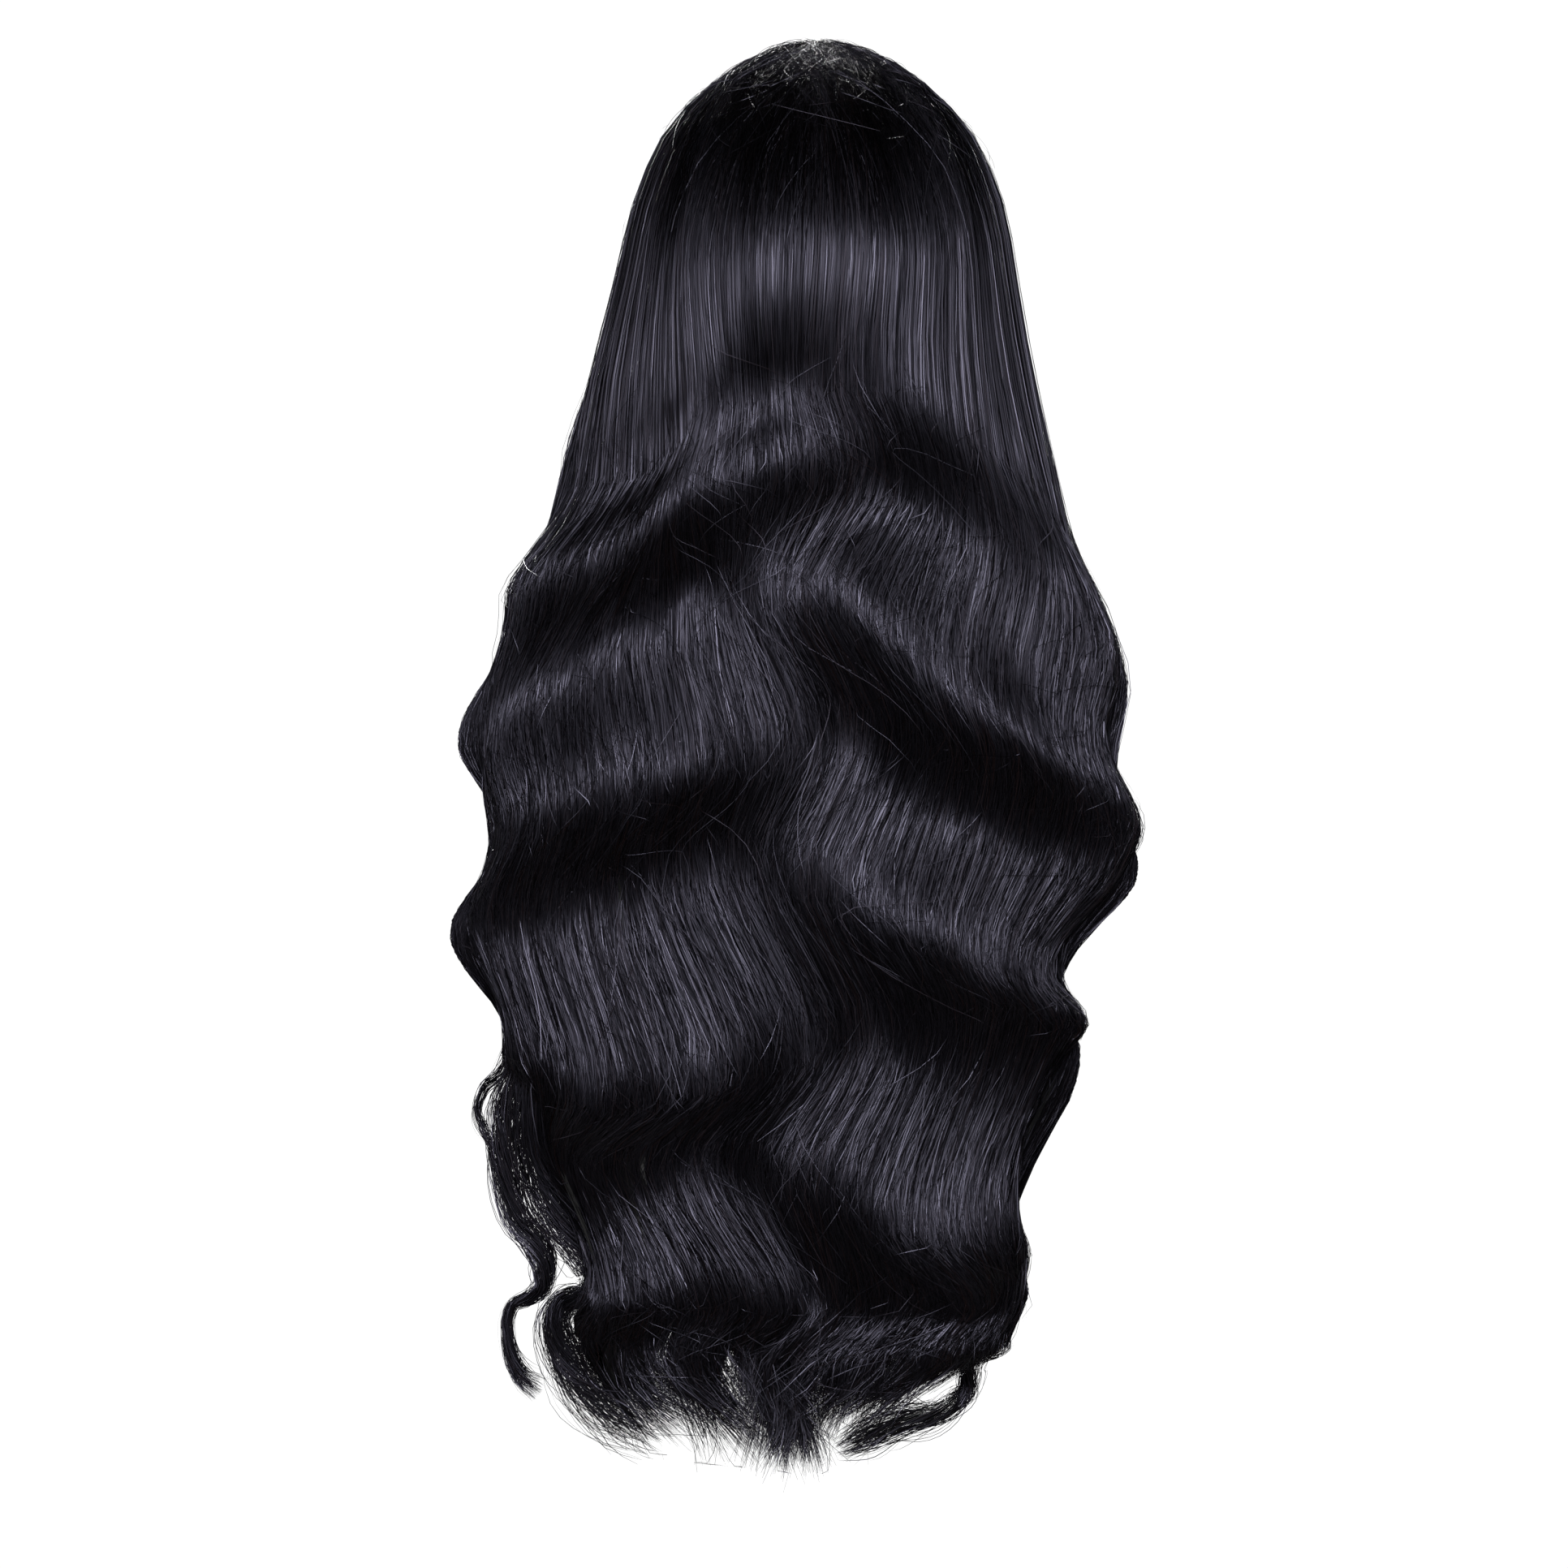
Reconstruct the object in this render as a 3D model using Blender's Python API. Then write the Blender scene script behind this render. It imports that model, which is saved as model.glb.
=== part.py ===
"""Lace front wig with long body-wave hair.

The origin is the highest point inside the cap, where the crown of a head meets it.
+Z is up, the face looks along -Y and the wearer's left is +X. Lengths are in metres.
"Across" runs from -1 at the wearer's left to +1 at the wearer's right, as seen from
behind, and "fall" runs from 0 at the top of the hair to 1 at its lowest tip.
"""

import math
from typing import NamedTuple

import bmesh
import bpy
from mathutils import Vector

# Driving sizes of the head opening
HEAD_WIDTH = 0.154
HEAD_LENGTH = 0.195
CROWN_HEIGHT = 0.105
CAP_WALL = 0.0015
LACE_WALL = 0.0010
BAND_WALL = 0.0012
LACE_DEPTH = 0.036
LACE_EAR_DEPTH = 0.011
BAND_HEIGHT = 0.020
BAND_TURN = 60.0

# Driving sizes of the hair
HAIR_LENGTH = 0.785
HALF_SPREAD = 0.190
TOP_COVER = 0.022
SIDE_COVER = 0.035
BACK_COVER = 0.027
FRONT_COVER = 0.010
HAIRLINE_COVER = 0.003
SEAM_DROP = 0.130
NAPE_BLEND = 0.090
DRAPE_THICKNESS = 0.046
TIP_THICKNESS = 0.004
LOCK_RELIEF = 0.0055
WAVE_DEPTH = 0.0085
PARTING_DEPTH = 0.006

# Clearance between neighbouring pieces, the level clearance between two hanging masses,
# whose strands lean, and the room that the nape has in the hair
GAP = 0.0003
MASS_GAP = 0.0009
NAPE_EASE = 0.002

# Fineness of the meshes
CAP_COLUMNS = 36
CAP_ROWS = 8
TRIM_ROWS = 2
CROWN_COLUMNS = 44
CROWN_ROWS = 11
MASS_ROWS = 46

# The superellipse power of the hair's outline over the head
DOME_POWER = 1.75
# Turns are in degrees round from the back. The hair's lower edge is level up to the
# first of these, then rises to the hairline, and the hair over it thins to the second
SEAM_TURN = 112.0
HAIRLINE_TURN = 128.0
THIN_TURN = 142.0
# How far the hair begins behind the lace's edge, in degrees of drop
HAIRLINE_STEP = 5.0
# Where the parting begins, and its start, full depth, thinning and end, as shares of
# the way from the crown to the hairline
PARTING_TURN = 168.0
PARTING_SPAN = (0.15, 0.40, 0.80, 1.0)
# From this share of that way the hair thins down to the hairline's cover
THIN_FROM = 0.55
# Where the lace begins and where it is at full depth
LACE_TURN = 100.0
LACE_FULL_TURN = 140.0


class Edge(NamedTuple):
    """The cap's lower edge: degrees round from the back, and degrees down from the crown."""

    turn: float
    drop: float


CAP_EDGE = (
    Edge(turn=0, drop=128),
    Edge(turn=35, drop=126),
    Edge(turn=62, drop=114),
    Edge(turn=80, drop=93),
    Edge(turn=90, drop=88),
    Edge(turn=100, drop=92),
    Edge(turn=112, drop=104),
    Edge(turn=122, drop=102),
    Edge(turn=136, drop=84),
    Edge(turn=156, drop=69),
    Edge(turn=180, drop=63),
)


class Turn(NamedTuple):
    """One turning point of the waves: where it lies on each of six guide strands."""

    left_edge: tuple
    left_outer: tuple
    left_inner: tuple
    middle: tuple
    right: tuple
    right_edge: tuple


# Where the guide strands lie between the wearer's left and right edge
GUIDES = (-1.0, -0.66, -0.22, 0.20, 0.55, 1.0)

# Each row is one turn of the waves, and each pair is (fall, across). Fall is a share of
# HAIR_LENGTH and across a share of HALF_SPREAD, in the first row of the head's cover.
TURNS = (
    Turn((0.162, -1.00), (0.162, -0.75), (0.162, -0.61), (0.162, 0.18), (0.162, 0.73), (0.162, 1.00)),
    Turn((0.375, -0.86), (0.318, -0.49), (0.272, -0.39), (0.203, 0.07), (0.261, 0.43), (0.330, 0.71)),
    Turn((0.410, -0.85), (0.358, -0.51), (0.370, -0.36), (0.298, 0.15), (0.358, 0.51), (0.490, 0.93)),
    Turn((0.499, -1.05), (0.467, -0.73), (0.425, -0.36), (0.393, -0.01), (0.461, 0.44), (0.533, 0.86)),
    Turn((0.562, -0.91), (0.550, -0.64), (0.519, -0.26), (0.490, 0.15), (0.539, 0.51), (0.587, 0.93)),
    Turn((0.633, -1.07), (0.613, -0.75), (0.573, -0.33), (0.596, 0.00), (0.642, 0.38), (0.670, 0.68)),
    Turn((0.713, -0.87), (0.751, -0.58), (0.722, -0.12), (0.699, 0.16), (0.697, 0.48), (0.719, 0.76)),
    Turn((0.771, -0.86), (0.794, -0.74), (0.788, -0.29), (0.805, -0.02), (0.840, 0.31), (0.840, 0.55)),
    Turn((0.871, -0.63), (0.883, -0.57), (0.891, -0.09), (0.891, 0.05), (0.894, 0.46), (0.885, 0.61)),
    Turn((0.905, -0.77), (0.926, -0.65), (0.928, -0.19), (0.937, -0.08), (0.926, 0.37), (0.923, 0.55)),
    Turn((0.971, -0.61), (0.985, -0.47), (0.985, -0.17), (0.997, -0.02), (0.955, 0.18), (0.944, 0.34)),
)


class Section(NamedTuple):
    """A level of the hanging hair. Depths are shares of the back's own depth."""

    fall: float
    back: float
    reach: float
    front: float
    middle: float
    edge: float
    turn: float


# fall: share of HAIR_LENGTH. back: how far the back stands out, of the head's back.
# reach: from the back to the widest line. front: how far past it the sides come.
# middle and edge: thickness, of DRAPE_THICKNESS. turn: degrees to the front edge.
SECTIONS = (
    Section(0.16, 1.00, 0.98, 0.98, 0.55, 0.80, 112),
    Section(0.22, 0.97, 0.92, 0.90, 0.85, 0.84, 112),
    Section(0.30, 0.92, 0.80, 0.75, 1.00, 0.80, 110),
    Section(0.38, 0.90, 0.67, 0.60, 1.00, 0.60, 105),
    Section(0.46, 0.90, 0.55, 0.50, 1.00, 0.34, 98),
    Section(0.60, 0.89, 0.48, 0.45, 0.96, 0.28, 94),
    Section(0.75, 0.86, 0.44, 0.40, 0.85, 0.24, 92),
    Section(0.90, 0.80, 0.38, 0.35, 0.60, 0.20, 92),
    Section(1.00, 0.74, 0.32, 0.30, 0.20, 0.10, 92),
)

# How steeply the side thickness takes over from the middle one, and how much of the
# outer side's relief shows inside
SIDE_POWER = 2
INNER_RELIEF = 0.6
# Falls between which the locks and waves set in, and from which they flatten
RELIEF_IN = (0.16, 0.34)
RELIEF_OUT = (0.90, 1.0)
# How full a lock's back is, below 1 fuller, and how far the waves' depth runs behind
LOCK_FULLNESS = 0.7
WAVE_LAG = 0.4
# How fast the waves' depth changes over from the left half to the right half
HALVES_CHANGE = 3.0

# Valleys between the locks, across the guides, with the column count of each lock
LOCK_EDGES = (-1.0, -0.83, -0.66, -0.50, -0.34, -0.18, -0.02, 0.12, 0.28, 0.44, 0.62, 0.80, 1.0)
COLUMNS_PER_LOCK = 4
# The four masses: name, and the locks from one up to the next
MASSES = (
    ("left_side_hair", 0, 3),
    ("left_back_hair", 3, 7),
    ("right_back_hair", 7, 10),
    ("right_side_hair", 10, 12),
)
SIDE_COLUMNS = 4
# Bends the side columns' relief out to nothing over this much of the wrap
WRAP_FADE = 0.3
# How far each lock's tip ends above the lowest one, in turns of the waves
TIP_RISE = (0.5, 0.0, 0.35, 0.1, 0.45, 0.0, 0.3, 0.0, 0.25, 0.1, 0.3, 0.0)
# How much further up the hair ends between two locks, and how far up the mesh rows
# bend to meet those ends, in turns of the waves
NOTCH_RISE = 0.45
TIP_ZONE = 1.8


class Wisp(NamedTuple):
    """A point along a thin free lock: its radius is a share of WISP_RADIUS. Deep is 0 on
    the hair's outer side and 1 on its inner side."""

    fall: float
    across: float
    deep: float
    thickness: float


WISP_RADIUS = 0.006
WISP_SIDES = 6
UPPER_WISP = (
    Wisp(0.700, -0.83, 0.5, 0.5),
    Wisp(0.731, -0.92, 0.5, 0.5),
    Wisp(0.748, -0.98, 0.5, 0.4),
    Wisp(0.765, -0.98, 0.5, 0.4),
    Wisp(0.785, -0.94, 0.5, 0.4),
    Wisp(0.800, -0.86, 0.5, 0.4),
)
LOWER_WISP = (
    Wisp(0.735, -0.80, 0.5, 0.9),
    Wisp(0.776, -0.91, 0.5, 1.0),
    Wisp(0.805, -0.91, 0.5, 1.0),
    Wisp(0.834, -0.87, 0.5, 0.9),
    Wisp(0.854, -0.81, 0.5, 0.8),
    Wisp(0.874, -0.77, 0.5, 0.7),
    Wisp(0.887, -0.81, 0.5, 0.6),
    Wisp(0.892, -0.88, 0.5, 0.6),
    Wisp(0.908, -0.91, 0.5, 0.5),
    Wisp(0.926, -0.90, 0.5, 0.4),
    Wisp(0.945, -0.86, 0.5, 0.3),
    Wisp(0.955, -0.80, 0.5, 0.2),
)
CURL = (
    Wisp(0.905, 0.22, 0.7, 1.0),
    Wisp(0.925, 0.36, 2.2, 1.0),
    Wisp(0.942, 0.46, 2.6, 1.2),
    Wisp(0.960, 0.44, 2.4, 1.3),
    Wisp(0.973, 0.36, 1.6, 1.3),
    Wisp(0.980, 0.27, 1.0, 1.2),
    Wisp(0.990, 0.17, 0.7, 0.7),
)
# Points on a wisp from one row to the next
WISP_STEPS = 2
# Halvings that find the place where a strand passes a level
HALVINGS = 30


def smooth(low, high, value):
    """0 below low, 1 above high and an S-curve between."""
    share = min(1.0, max(0.0, (value - low) / (high - low)))
    return share * share * (3.0 - 2.0 * share)


def mix(a, b, share):
    return a + (b - a) * share


def read_table(rows, at):
    """The smoothly joined value of rows of (place, value) at a place."""
    for (low, first), (high, last) in zip(rows, rows[1:]):
        if at <= high:
            return mix(first, last, smooth(low, high, at))
    return rows[-1][1]


def read_line(rows, at):
    """The value of rows of (place, value) at a place, in straight stretches."""
    for (low, first), (high, last) in zip(rows, rows[1:]):
        if at <= high:
            return mix(first, last, max(0.0, (at - low) / (high - low)))
    return rows[-1][1]


def even_slope(before, after):
    """A slope between two that never overshoots either, flat where they differ in sign."""
    return 2 * before * after / (before + after) if before * after > 0 else 0.0


def read_curve(rows, at):
    """The value of rows of (place, value) at a place, on a curve that doesn't overshoot."""
    slopes = [(end - start) / (high - low) for (low, start), (high, end) in zip(rows, rows[1:])]
    last = len(slopes) - 1
    i = 0
    while i < last and at > rows[i + 1][0]:
        i += 1
    (low, start), (high, end) = rows[i], rows[i + 1]
    span = high - low
    slope_in = even_slope(slopes[i - 1], slopes[i]) if i > 0 else slopes[i]
    slope_out = even_slope(slopes[i], slopes[i + 1]) if i < last else slopes[i]
    t = (at - low) / span
    return (
        (2 * t**3 - 3 * t**2 + 1) * start
        + (t**3 - 2 * t**2 + t) * span * slope_in
        + (3 * t**2 - 2 * t**3) * end
        + (t**3 - t**2) * span * slope_out
    )


def height_of(fall):
    return TOP_COVER - fall * HAIR_LENGTH


def fall_of(height):
    return (TOP_COVER - height) / HAIR_LENGTH


def head_point(turn, drop, lift):
    """A point over the head form: turn from the back, drop from the crown, in radians."""
    ring = math.sin(drop)
    return Vector((
        -(HEAD_WIDTH / 2 + lift) * ring * math.sin(turn),
        (HEAD_LENGTH / 2 + lift) * ring * math.cos(turn),
        (CROWN_HEIGHT + lift) * math.cos(drop) - CROWN_HEIGHT,
    ))


def head_drop(height, lift):
    """The drop angle at which the lifted head form passes a height."""
    return math.acos(max(-1.0, min(1.0, (height + CROWN_HEIGHT) / (CROWN_HEIGHT + lift))))


def chord_sag(angle):
    """How far a straight facet over an angle cuts inside its round."""
    return (HEAD_LENGTH / 2) * (1 - math.cos(angle / 2))


def cap_clearance():
    """The lift of the hair's inner side over the head form, clear of the cap's facets."""
    around = chord_sag(2 * math.pi / CROWN_COLUMNS)
    down = chord_sag(head_drop(-SEAM_DROP, 0) / CROWN_ROWS)
    return CAP_WALL + GAP + around + down


def edge_drop(turn):
    """The drop angle of the cap's lower edge at a turn."""
    return math.radians(read_table(CAP_EDGE, abs(math.degrees(turn))))


def cap_turns(from_front=False):
    """The turns of the cap's columns, from the front round to it, or from the back."""
    step = 2 * math.pi / CAP_COLUMNS
    return [step * i - (0 if from_front else math.pi) for i in range(CAP_COLUMNS)]


def on_lace(turn):
    """Whether a column of the cap is one that the lace hangs from."""
    folded = turn if turn <= math.pi else turn - 2 * math.pi
    return abs(folded) > math.radians(LACE_TURN) - math.pi / CAP_COLUMNS


def on_band(turn):
    return abs(turn) < math.radians(BAND_TURN) + math.pi / CAP_COLUMNS


def cap_drop(turn):
    """Where the cap itself ends: at its edge, or at the lace in front."""
    if not on_lace(turn):
        return edge_drop(turn)
    full = smooth(LACE_TURN, LACE_FULL_TURN, abs(math.degrees(turn)))
    return edge_drop(turn) - mix(LACE_EAR_DEPTH, LACE_DEPTH, full) / (HEAD_LENGTH / 2)


def hair_thickness(fall, turn):
    middle = read_table([(s.fall, s.middle) for s in SECTIONS], fall)
    edge = read_table([(s.fall, s.edge) for s in SECTIONS], fall)
    side = math.sin(min(abs(turn), math.pi / 2)) ** SIDE_POWER
    return max(TIP_THICKNESS, DRAPE_THICKNESS * mix(middle, edge, side))


def guide_place(row, guide):
    """(fall, x) of one turning point of one guide strand."""
    fall, across = TURNS[row][guide]
    unit = HEAD_WIDTH / 2 + SIDE_COVER if row == 0 else HALF_SPREAD
    return fall, -across * unit


def strand_place(across, phase):
    """(fall, x) on the strand that lies across the guides, after so many wave turns."""
    last = len(TURNS) - 1
    row = min(int(phase), last - 1)
    share = phase - row
    eased = 0.5 - 0.5 * math.cos(math.pi * share)
    falls = []
    sides = []
    for guide, place in enumerate(GUIDES):
        start = guide_place(row, guide)
        end = guide_place(row + 1, guide)
        falls.append((place, mix(start[0], end[0], share)))
        sides.append((place, mix(start[1], end[1], eased)))
    return read_curve(falls, across), read_curve(sides, across)


def phase_at(across, fall):
    """How many wave turns a strand has made when it has fallen so far."""
    low, high = 0.0, float(len(TURNS) - 1)
    for _ in range(HALVINGS):
        middle = (low + high) / 2
        if strand_place(across, middle)[0] < fall:
            low = middle
        else:
            high = middle
    return (low + high) / 2


def half_width(fall, left):
    """x of the hair's outline at a level, on the left or the right."""
    side = -1.0 if left else 1.0
    return strand_place(side, phase_at(side, fall))[1]


def lock_ridge(across):
    """0 in the valley between two locks and 1 along a lock's back."""
    for low, high in zip(LOCK_EDGES, LOCK_EDGES[1:]):
        if low < across <= high:
            return max(0.0, math.sin(math.pi * (across - low) / (high - low))) ** LOCK_FULLNESS
    return 0.0


def depth_wave(across, phase):
    """The waves in depth: out where a strand turns in, and deep where it turns out."""
    side = math.tanh(HALVES_CHANGE * across)
    return -side * math.cos(math.pi * (phase - WAVE_LAG))


def section_at(fall):
    """(back y, reach, front reach) of the outer side at a level."""
    depth = HEAD_LENGTH / 2 + BACK_COVER
    back = depth * read_table([(s.fall, s.back) for s in SECTIONS], fall)
    reach = depth * read_table([(s.fall, s.reach) for s in SECTIONS], fall)
    front = depth * read_table([(s.fall, s.front) for s in SECTIONS], fall)
    return back, reach, front


def outer_base(fall, x_side, turn):
    """The plain outer side of the hanging hair, and its outward direction in plan."""
    back, reach, front = section_at(fall)
    forward = reach if abs(turn) <= math.pi / 2 else front
    y = back - reach + forward * math.cos(turn)
    outward = math.sin(turn) * forward * math.copysign(1, x_side)
    return y, Vector((outward, math.cos(turn) * abs(x_side), 0)).normalized()


def fall_point(across, phase, deep):
    """A point of the hanging hair. Deep is 0 on its outer side and 1 on its inner side."""
    inside = max(-1.0, min(1.0, across))
    fall, x = strand_place(inside, phase)
    left = half_width(fall, True)
    right = half_width(fall, False)
    middle = (left + right) / 2
    half = abs(left - right) / 2
    share = max(-1.0, min(1.0, (middle - x) / half))
    turn = math.asin(share)
    if abs(across) > 1.0:
        limit = math.radians(read_table([(s.fall, s.turn) for s in SECTIONS], fall))
        turn = math.copysign(mix(math.pi / 2, limit, abs(across) - 1.0), across)
        x = middle - half * math.sin(turn)
    side = -half if turn > 0 else half
    y, normal = outer_base(fall, side, abs(turn))
    height = height_of(fall)
    outer = Vector((x, y, height))
    relief = smooth(*RELIEF_IN, fall) * (1 - smooth(*RELIEF_OUT, fall))
    relief *= 1 - smooth(1.0, 1.0 + WRAP_FADE, abs(across))
    ridge = LOCK_RELIEF * (lock_ridge(inside) - 0.5)
    lift = relief * (ridge + WAVE_DEPTH * depth_wave(inside, phase))
    if deep == 0:
        return outer + normal * lift
    thickness = hair_thickness(fall, turn)
    inner_lift = lift * INNER_RELIEF * max(0.0, math.cos(2 * turn))
    drape = outer - normal * (thickness - inner_lift)
    # Near the cap the inner side follows the head form instead
    room = cap_clearance() + NAPE_EASE
    near = head_point(turn, head_drop(height, room), room)
    near.z = height
    return near.lerp(drape, smooth(SEAM_DROP, SEAM_DROP + NAPE_BLEND, -height))


def seam_phase(across):
    inside = max(-1.0, min(1.0, across))
    return phase_at(inside, fall_of(-SEAM_DROP - GAP))


def end_phase(across):
    """Where a strand ends: at its lock's tip, or higher between two locks."""
    inside = max(-1.0, min(1.0, across))
    last = float(len(TURNS) - 1)
    for lock, (low, high) in enumerate(zip(LOCK_EDGES, LOCK_EDGES[1:])):
        if inside <= high:
            return last - TIP_RISE[lock] - NOTCH_RISE * (1 - lock_ridge(inside))
    return last - TIP_RISE[-1] - NOTCH_RISE


def new_object(name, mesh_maker, colour, roughness, metallic=0.0):
    """An object from a function that fills a bmesh, with a material of its own."""
    bm = bmesh.new()
    mesh_maker(bm)
    bmesh.ops.recalc_face_normals(bm, faces=bm.faces)
    mesh = bpy.data.meshes.new(name)
    bm.to_mesh(mesh)
    bm.free()
    mesh.shade_smooth()
    obj = bpy.data.objects.new(name, mesh)
    bpy.context.scene.collection.objects.link(obj)
    material = bpy.data.materials.new(name)
    material.use_nodes = True
    shader = material.node_tree.nodes["Principled BSDF"]
    shader.inputs["Base Color"].default_value = (*colour, 1.0)
    shader.inputs["Roughness"].default_value = roughness
    shader.inputs["Metallic"].default_value = metallic
    mesh.materials.append(material)
    return obj


def grid_of(bm, rows):
    """Vertices of a grid of points, row by row."""
    return [[bm.verts.new(point) for point in row] for row in rows]


def skin(bm, grid, wrap=False):
    """Quads between neighbouring rows and columns of a grid."""
    for upper, lower in zip(grid, grid[1:]):
        count = len(upper)
        for i in range(count if wrap else count - 1):
            j = (i + 1) % count
            bm.faces.new((upper[i], upper[j], lower[j], lower[i]))


def zip_edges(bm, fine, coarse):
    """Joins an edge of 2n stretches to one of n, always in the same pattern."""
    for i in range(len(coarse) - 1):
        bm.faces.new((fine[2 * i], fine[2 * i + 1], coarse[i]))
        bm.faces.new((fine[2 * i + 1], coarse[i + 1], coarse[i]))
        bm.faces.new((fine[2 * i + 1], fine[2 * i + 2], coarse[i + 1]))


def dome_shell(bm, turns, rows, top, bottom, inner_lift, outer_lift, wrap):
    """A wall over the head form, between two drop angles given for each turn."""
    inner = []
    outer = []
    for row in range(rows + 1):
        share = row / rows
        inner.append([head_point(t, mix(top(t), bottom(t), share), inner_lift) for t in turns])
        outer.append([head_point(t, mix(top(t), bottom(t), share), outer_lift) for t in turns])
    inside = grid_of(bm, inner)
    outside = grid_of(bm, outer)
    skin(bm, inside, wrap)
    skin(bm, outside, wrap)
    skin(bm, [inside[-1], outside[-1]], wrap)
    if not wrap:
        skin(bm, [inside[0], outside[0]])
        skin(bm, [[row[0] for row in inside], [row[0] for row in outside]])
        skin(bm, [[row[-1] for row in inside], [row[-1] for row in outside]])
    return inside, outside


def close_top(bm, ring, point):
    """A fan from the first ring of a dome up to its crown."""
    crown = bm.verts.new(point)
    for i, vert in enumerate(ring):
        bm.faces.new((vert, ring[(i + 1) % len(ring)], crown))


def make_cap():
    turns = cap_turns()

    def fill(bm):
        first = math.pi / 2 / CAP_ROWS
        inside, outside = dome_shell(bm, turns, CAP_ROWS, lambda t: first, cap_drop, 0.0, CAP_WALL, True)
        close_top(bm, inside[0], head_point(0, 0, 0.0))
        close_top(bm, outside[0], head_point(0, 0, CAP_WALL))

    return new_object("cap", fill, (0.030, 0.022, 0.018), 0.85)


def make_lace():
    """The lace shares the cap's columns, so that the two edges stay parallel."""
    turns = [turn for turn in cap_turns(from_front=True) if on_lace(turn)]
    gap = GAP / (HEAD_WIDTH / 2)

    def folded(turn):
        return turn if turn <= math.pi else turn - 2 * math.pi

    def fill(bm):
        dome_shell(
            bm,
            turns,
            TRIM_ROWS,
            lambda t: cap_drop(folded(t)) + gap,
            lambda t: edge_drop(folded(t)),
            0.0,
            LACE_WALL,
            False,
        )

    return new_object("lace_front", fill, (0.30, 0.20, 0.14), 0.70)


def make_band():
    """The elastic below the cap's rear edge, between the ears."""
    turns = [turn for turn in cap_turns() if on_band(turn)]
    gap = GAP / (HEAD_WIDTH / 2)
    height = BAND_HEIGHT / (HEAD_WIDTH / 2)

    def fill(bm):
        dome_shell(
            bm,
            turns,
            TRIM_ROWS,
            lambda t: edge_drop(t) + gap,
            lambda t: edge_drop(t) + gap + height,
            0.0,
            BAND_WALL,
            False,
        )

    return new_object("nape_band", fill, (0.012, 0.011, 0.012), 0.65)


def crown_edge_height(turn):
    """The lower edge of the hair on the head: level at the ears, then up the hairline."""
    degrees = abs(math.degrees(turn))
    hairline = head_point(turn, edge_drop(turn) - math.radians(HAIRLINE_STEP), 0).z
    return mix(-SEAM_DROP, hairline, smooth(SEAM_TURN, HAIRLINE_TURN, degrees))


def dome_point(turn, height):
    """The hair's plain outer side over the head, at a turn and a height."""
    width = HEAD_WIDTH / 2 + SIDE_COVER
    cover = BACK_COVER if abs(turn) <= math.pi / 2 else FRONT_COVER
    length = HEAD_LENGTH / 2 + cover
    rise = CROWN_HEIGHT + TOP_COVER
    if height > -CROWN_HEIGHT:
        share = min(1.0, (height + CROWN_HEIGHT) / rise)
        ring = (1 - share**DOME_POWER) ** (1 / DOME_POWER)
        return Vector((-width * ring * math.sin(turn), length * ring * math.cos(turn), height))
    fall = fall_of(height)
    left = half_width(fall, True)
    right = half_width(fall, False)
    middle = (left + right) / 2
    half = abs(left - right) / 2
    back, reach, front = section_at(fall)
    forward = reach if abs(turn) <= math.pi / 2 else front
    return Vector((middle - half * math.sin(turn), back - reach + forward * math.cos(turn), height))


def crown_outer(turn, share):
    """The outer side of the hair on the head, from the crown to its lower edge."""
    edge = crown_edge_height(turn)
    fallen = 1 - math.cos(math.pi / 2 * share)
    full = dome_point(turn, mix(TOP_COVER, edge, fallen))
    clearance = cap_clearance()
    near = head_point(turn, head_drop(mix(0, edge, fallen), clearance), clearance)
    degrees = abs(math.degrees(turn))
    thin = smooth(SEAM_TURN, THIN_TURN, degrees) * smooth(THIN_FROM, 1.0, share)
    hairline = near + Vector((near.x, near.y, 0)).normalized() * HAIRLINE_COVER
    start, deepest, rising, end = PARTING_SPAN
    parting = smooth(start, deepest, share) * (1 - smooth(rising, end, share))
    parting *= smooth(PARTING_TURN, 180, degrees)
    return full.lerp(hairline, thin) - Vector((0, 0, PARTING_DEPTH * parting))


def crown_inner(turn, share):
    clearance = cap_clearance()
    edge = crown_edge_height(turn)
    last = head_drop(edge, clearance)
    point = head_point(turn, last * share, clearance)
    if share == 1.0:
        point.z = edge
    return point


def make_crown():
    turns = [2 * math.pi * i / CROWN_COLUMNS - math.pi for i in range(CROWN_COLUMNS)]
    shares = [(row + 1) / CROWN_ROWS for row in range(CROWN_ROWS)]

    def fill(bm):
        outside = grid_of(bm, [[crown_outer(turn, share) for turn in turns] for share in shares])
        inside = grid_of(bm, [[crown_inner(turn, share) for turn in turns] for share in shares])
        skin(bm, outside, True)
        skin(bm, inside, True)
        skin(bm, [outside[-1], inside[-1]], True)
        close_top(bm, outside[0], crown_outer(0, 0))
        close_top(bm, inside[0], crown_inner(0, 0))

    return new_object("crown_hair", fill, (0.010, 0.009, 0.012), 0.38)


def mass_columns(first, last):
    """The strands that one mass is built on, from lock to lock, with its front wrap."""
    places = []
    for lock in range(first, last):
        low, high = LOCK_EDGES[lock], LOCK_EDGES[lock + 1]
        places += [mix(low, high, i / COLUMNS_PER_LOCK) for i in range(COLUMNS_PER_LOCK)]
    places.append(LOCK_EDGES[last])
    wrap = [1.0 + (i + 1) / SIDE_COLUMNS for i in range(SIDE_COLUMNS)]
    if first == 0:
        places = [-place for place in reversed(wrap)] + places
    if last == len(LOCK_EDGES) - 1:
        places += wrap
    return places


def row_phase(start, end, share):
    """The phase of a mesh row: alike on all strands, then bent to each strand's end."""
    last = float(len(TURNS) - 1)
    phase = mix(start, last, share)
    bend = last - TIP_ZONE
    return phase if phase < bend else bend + (phase - bend) * (end - bend) / TIP_ZONE


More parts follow.
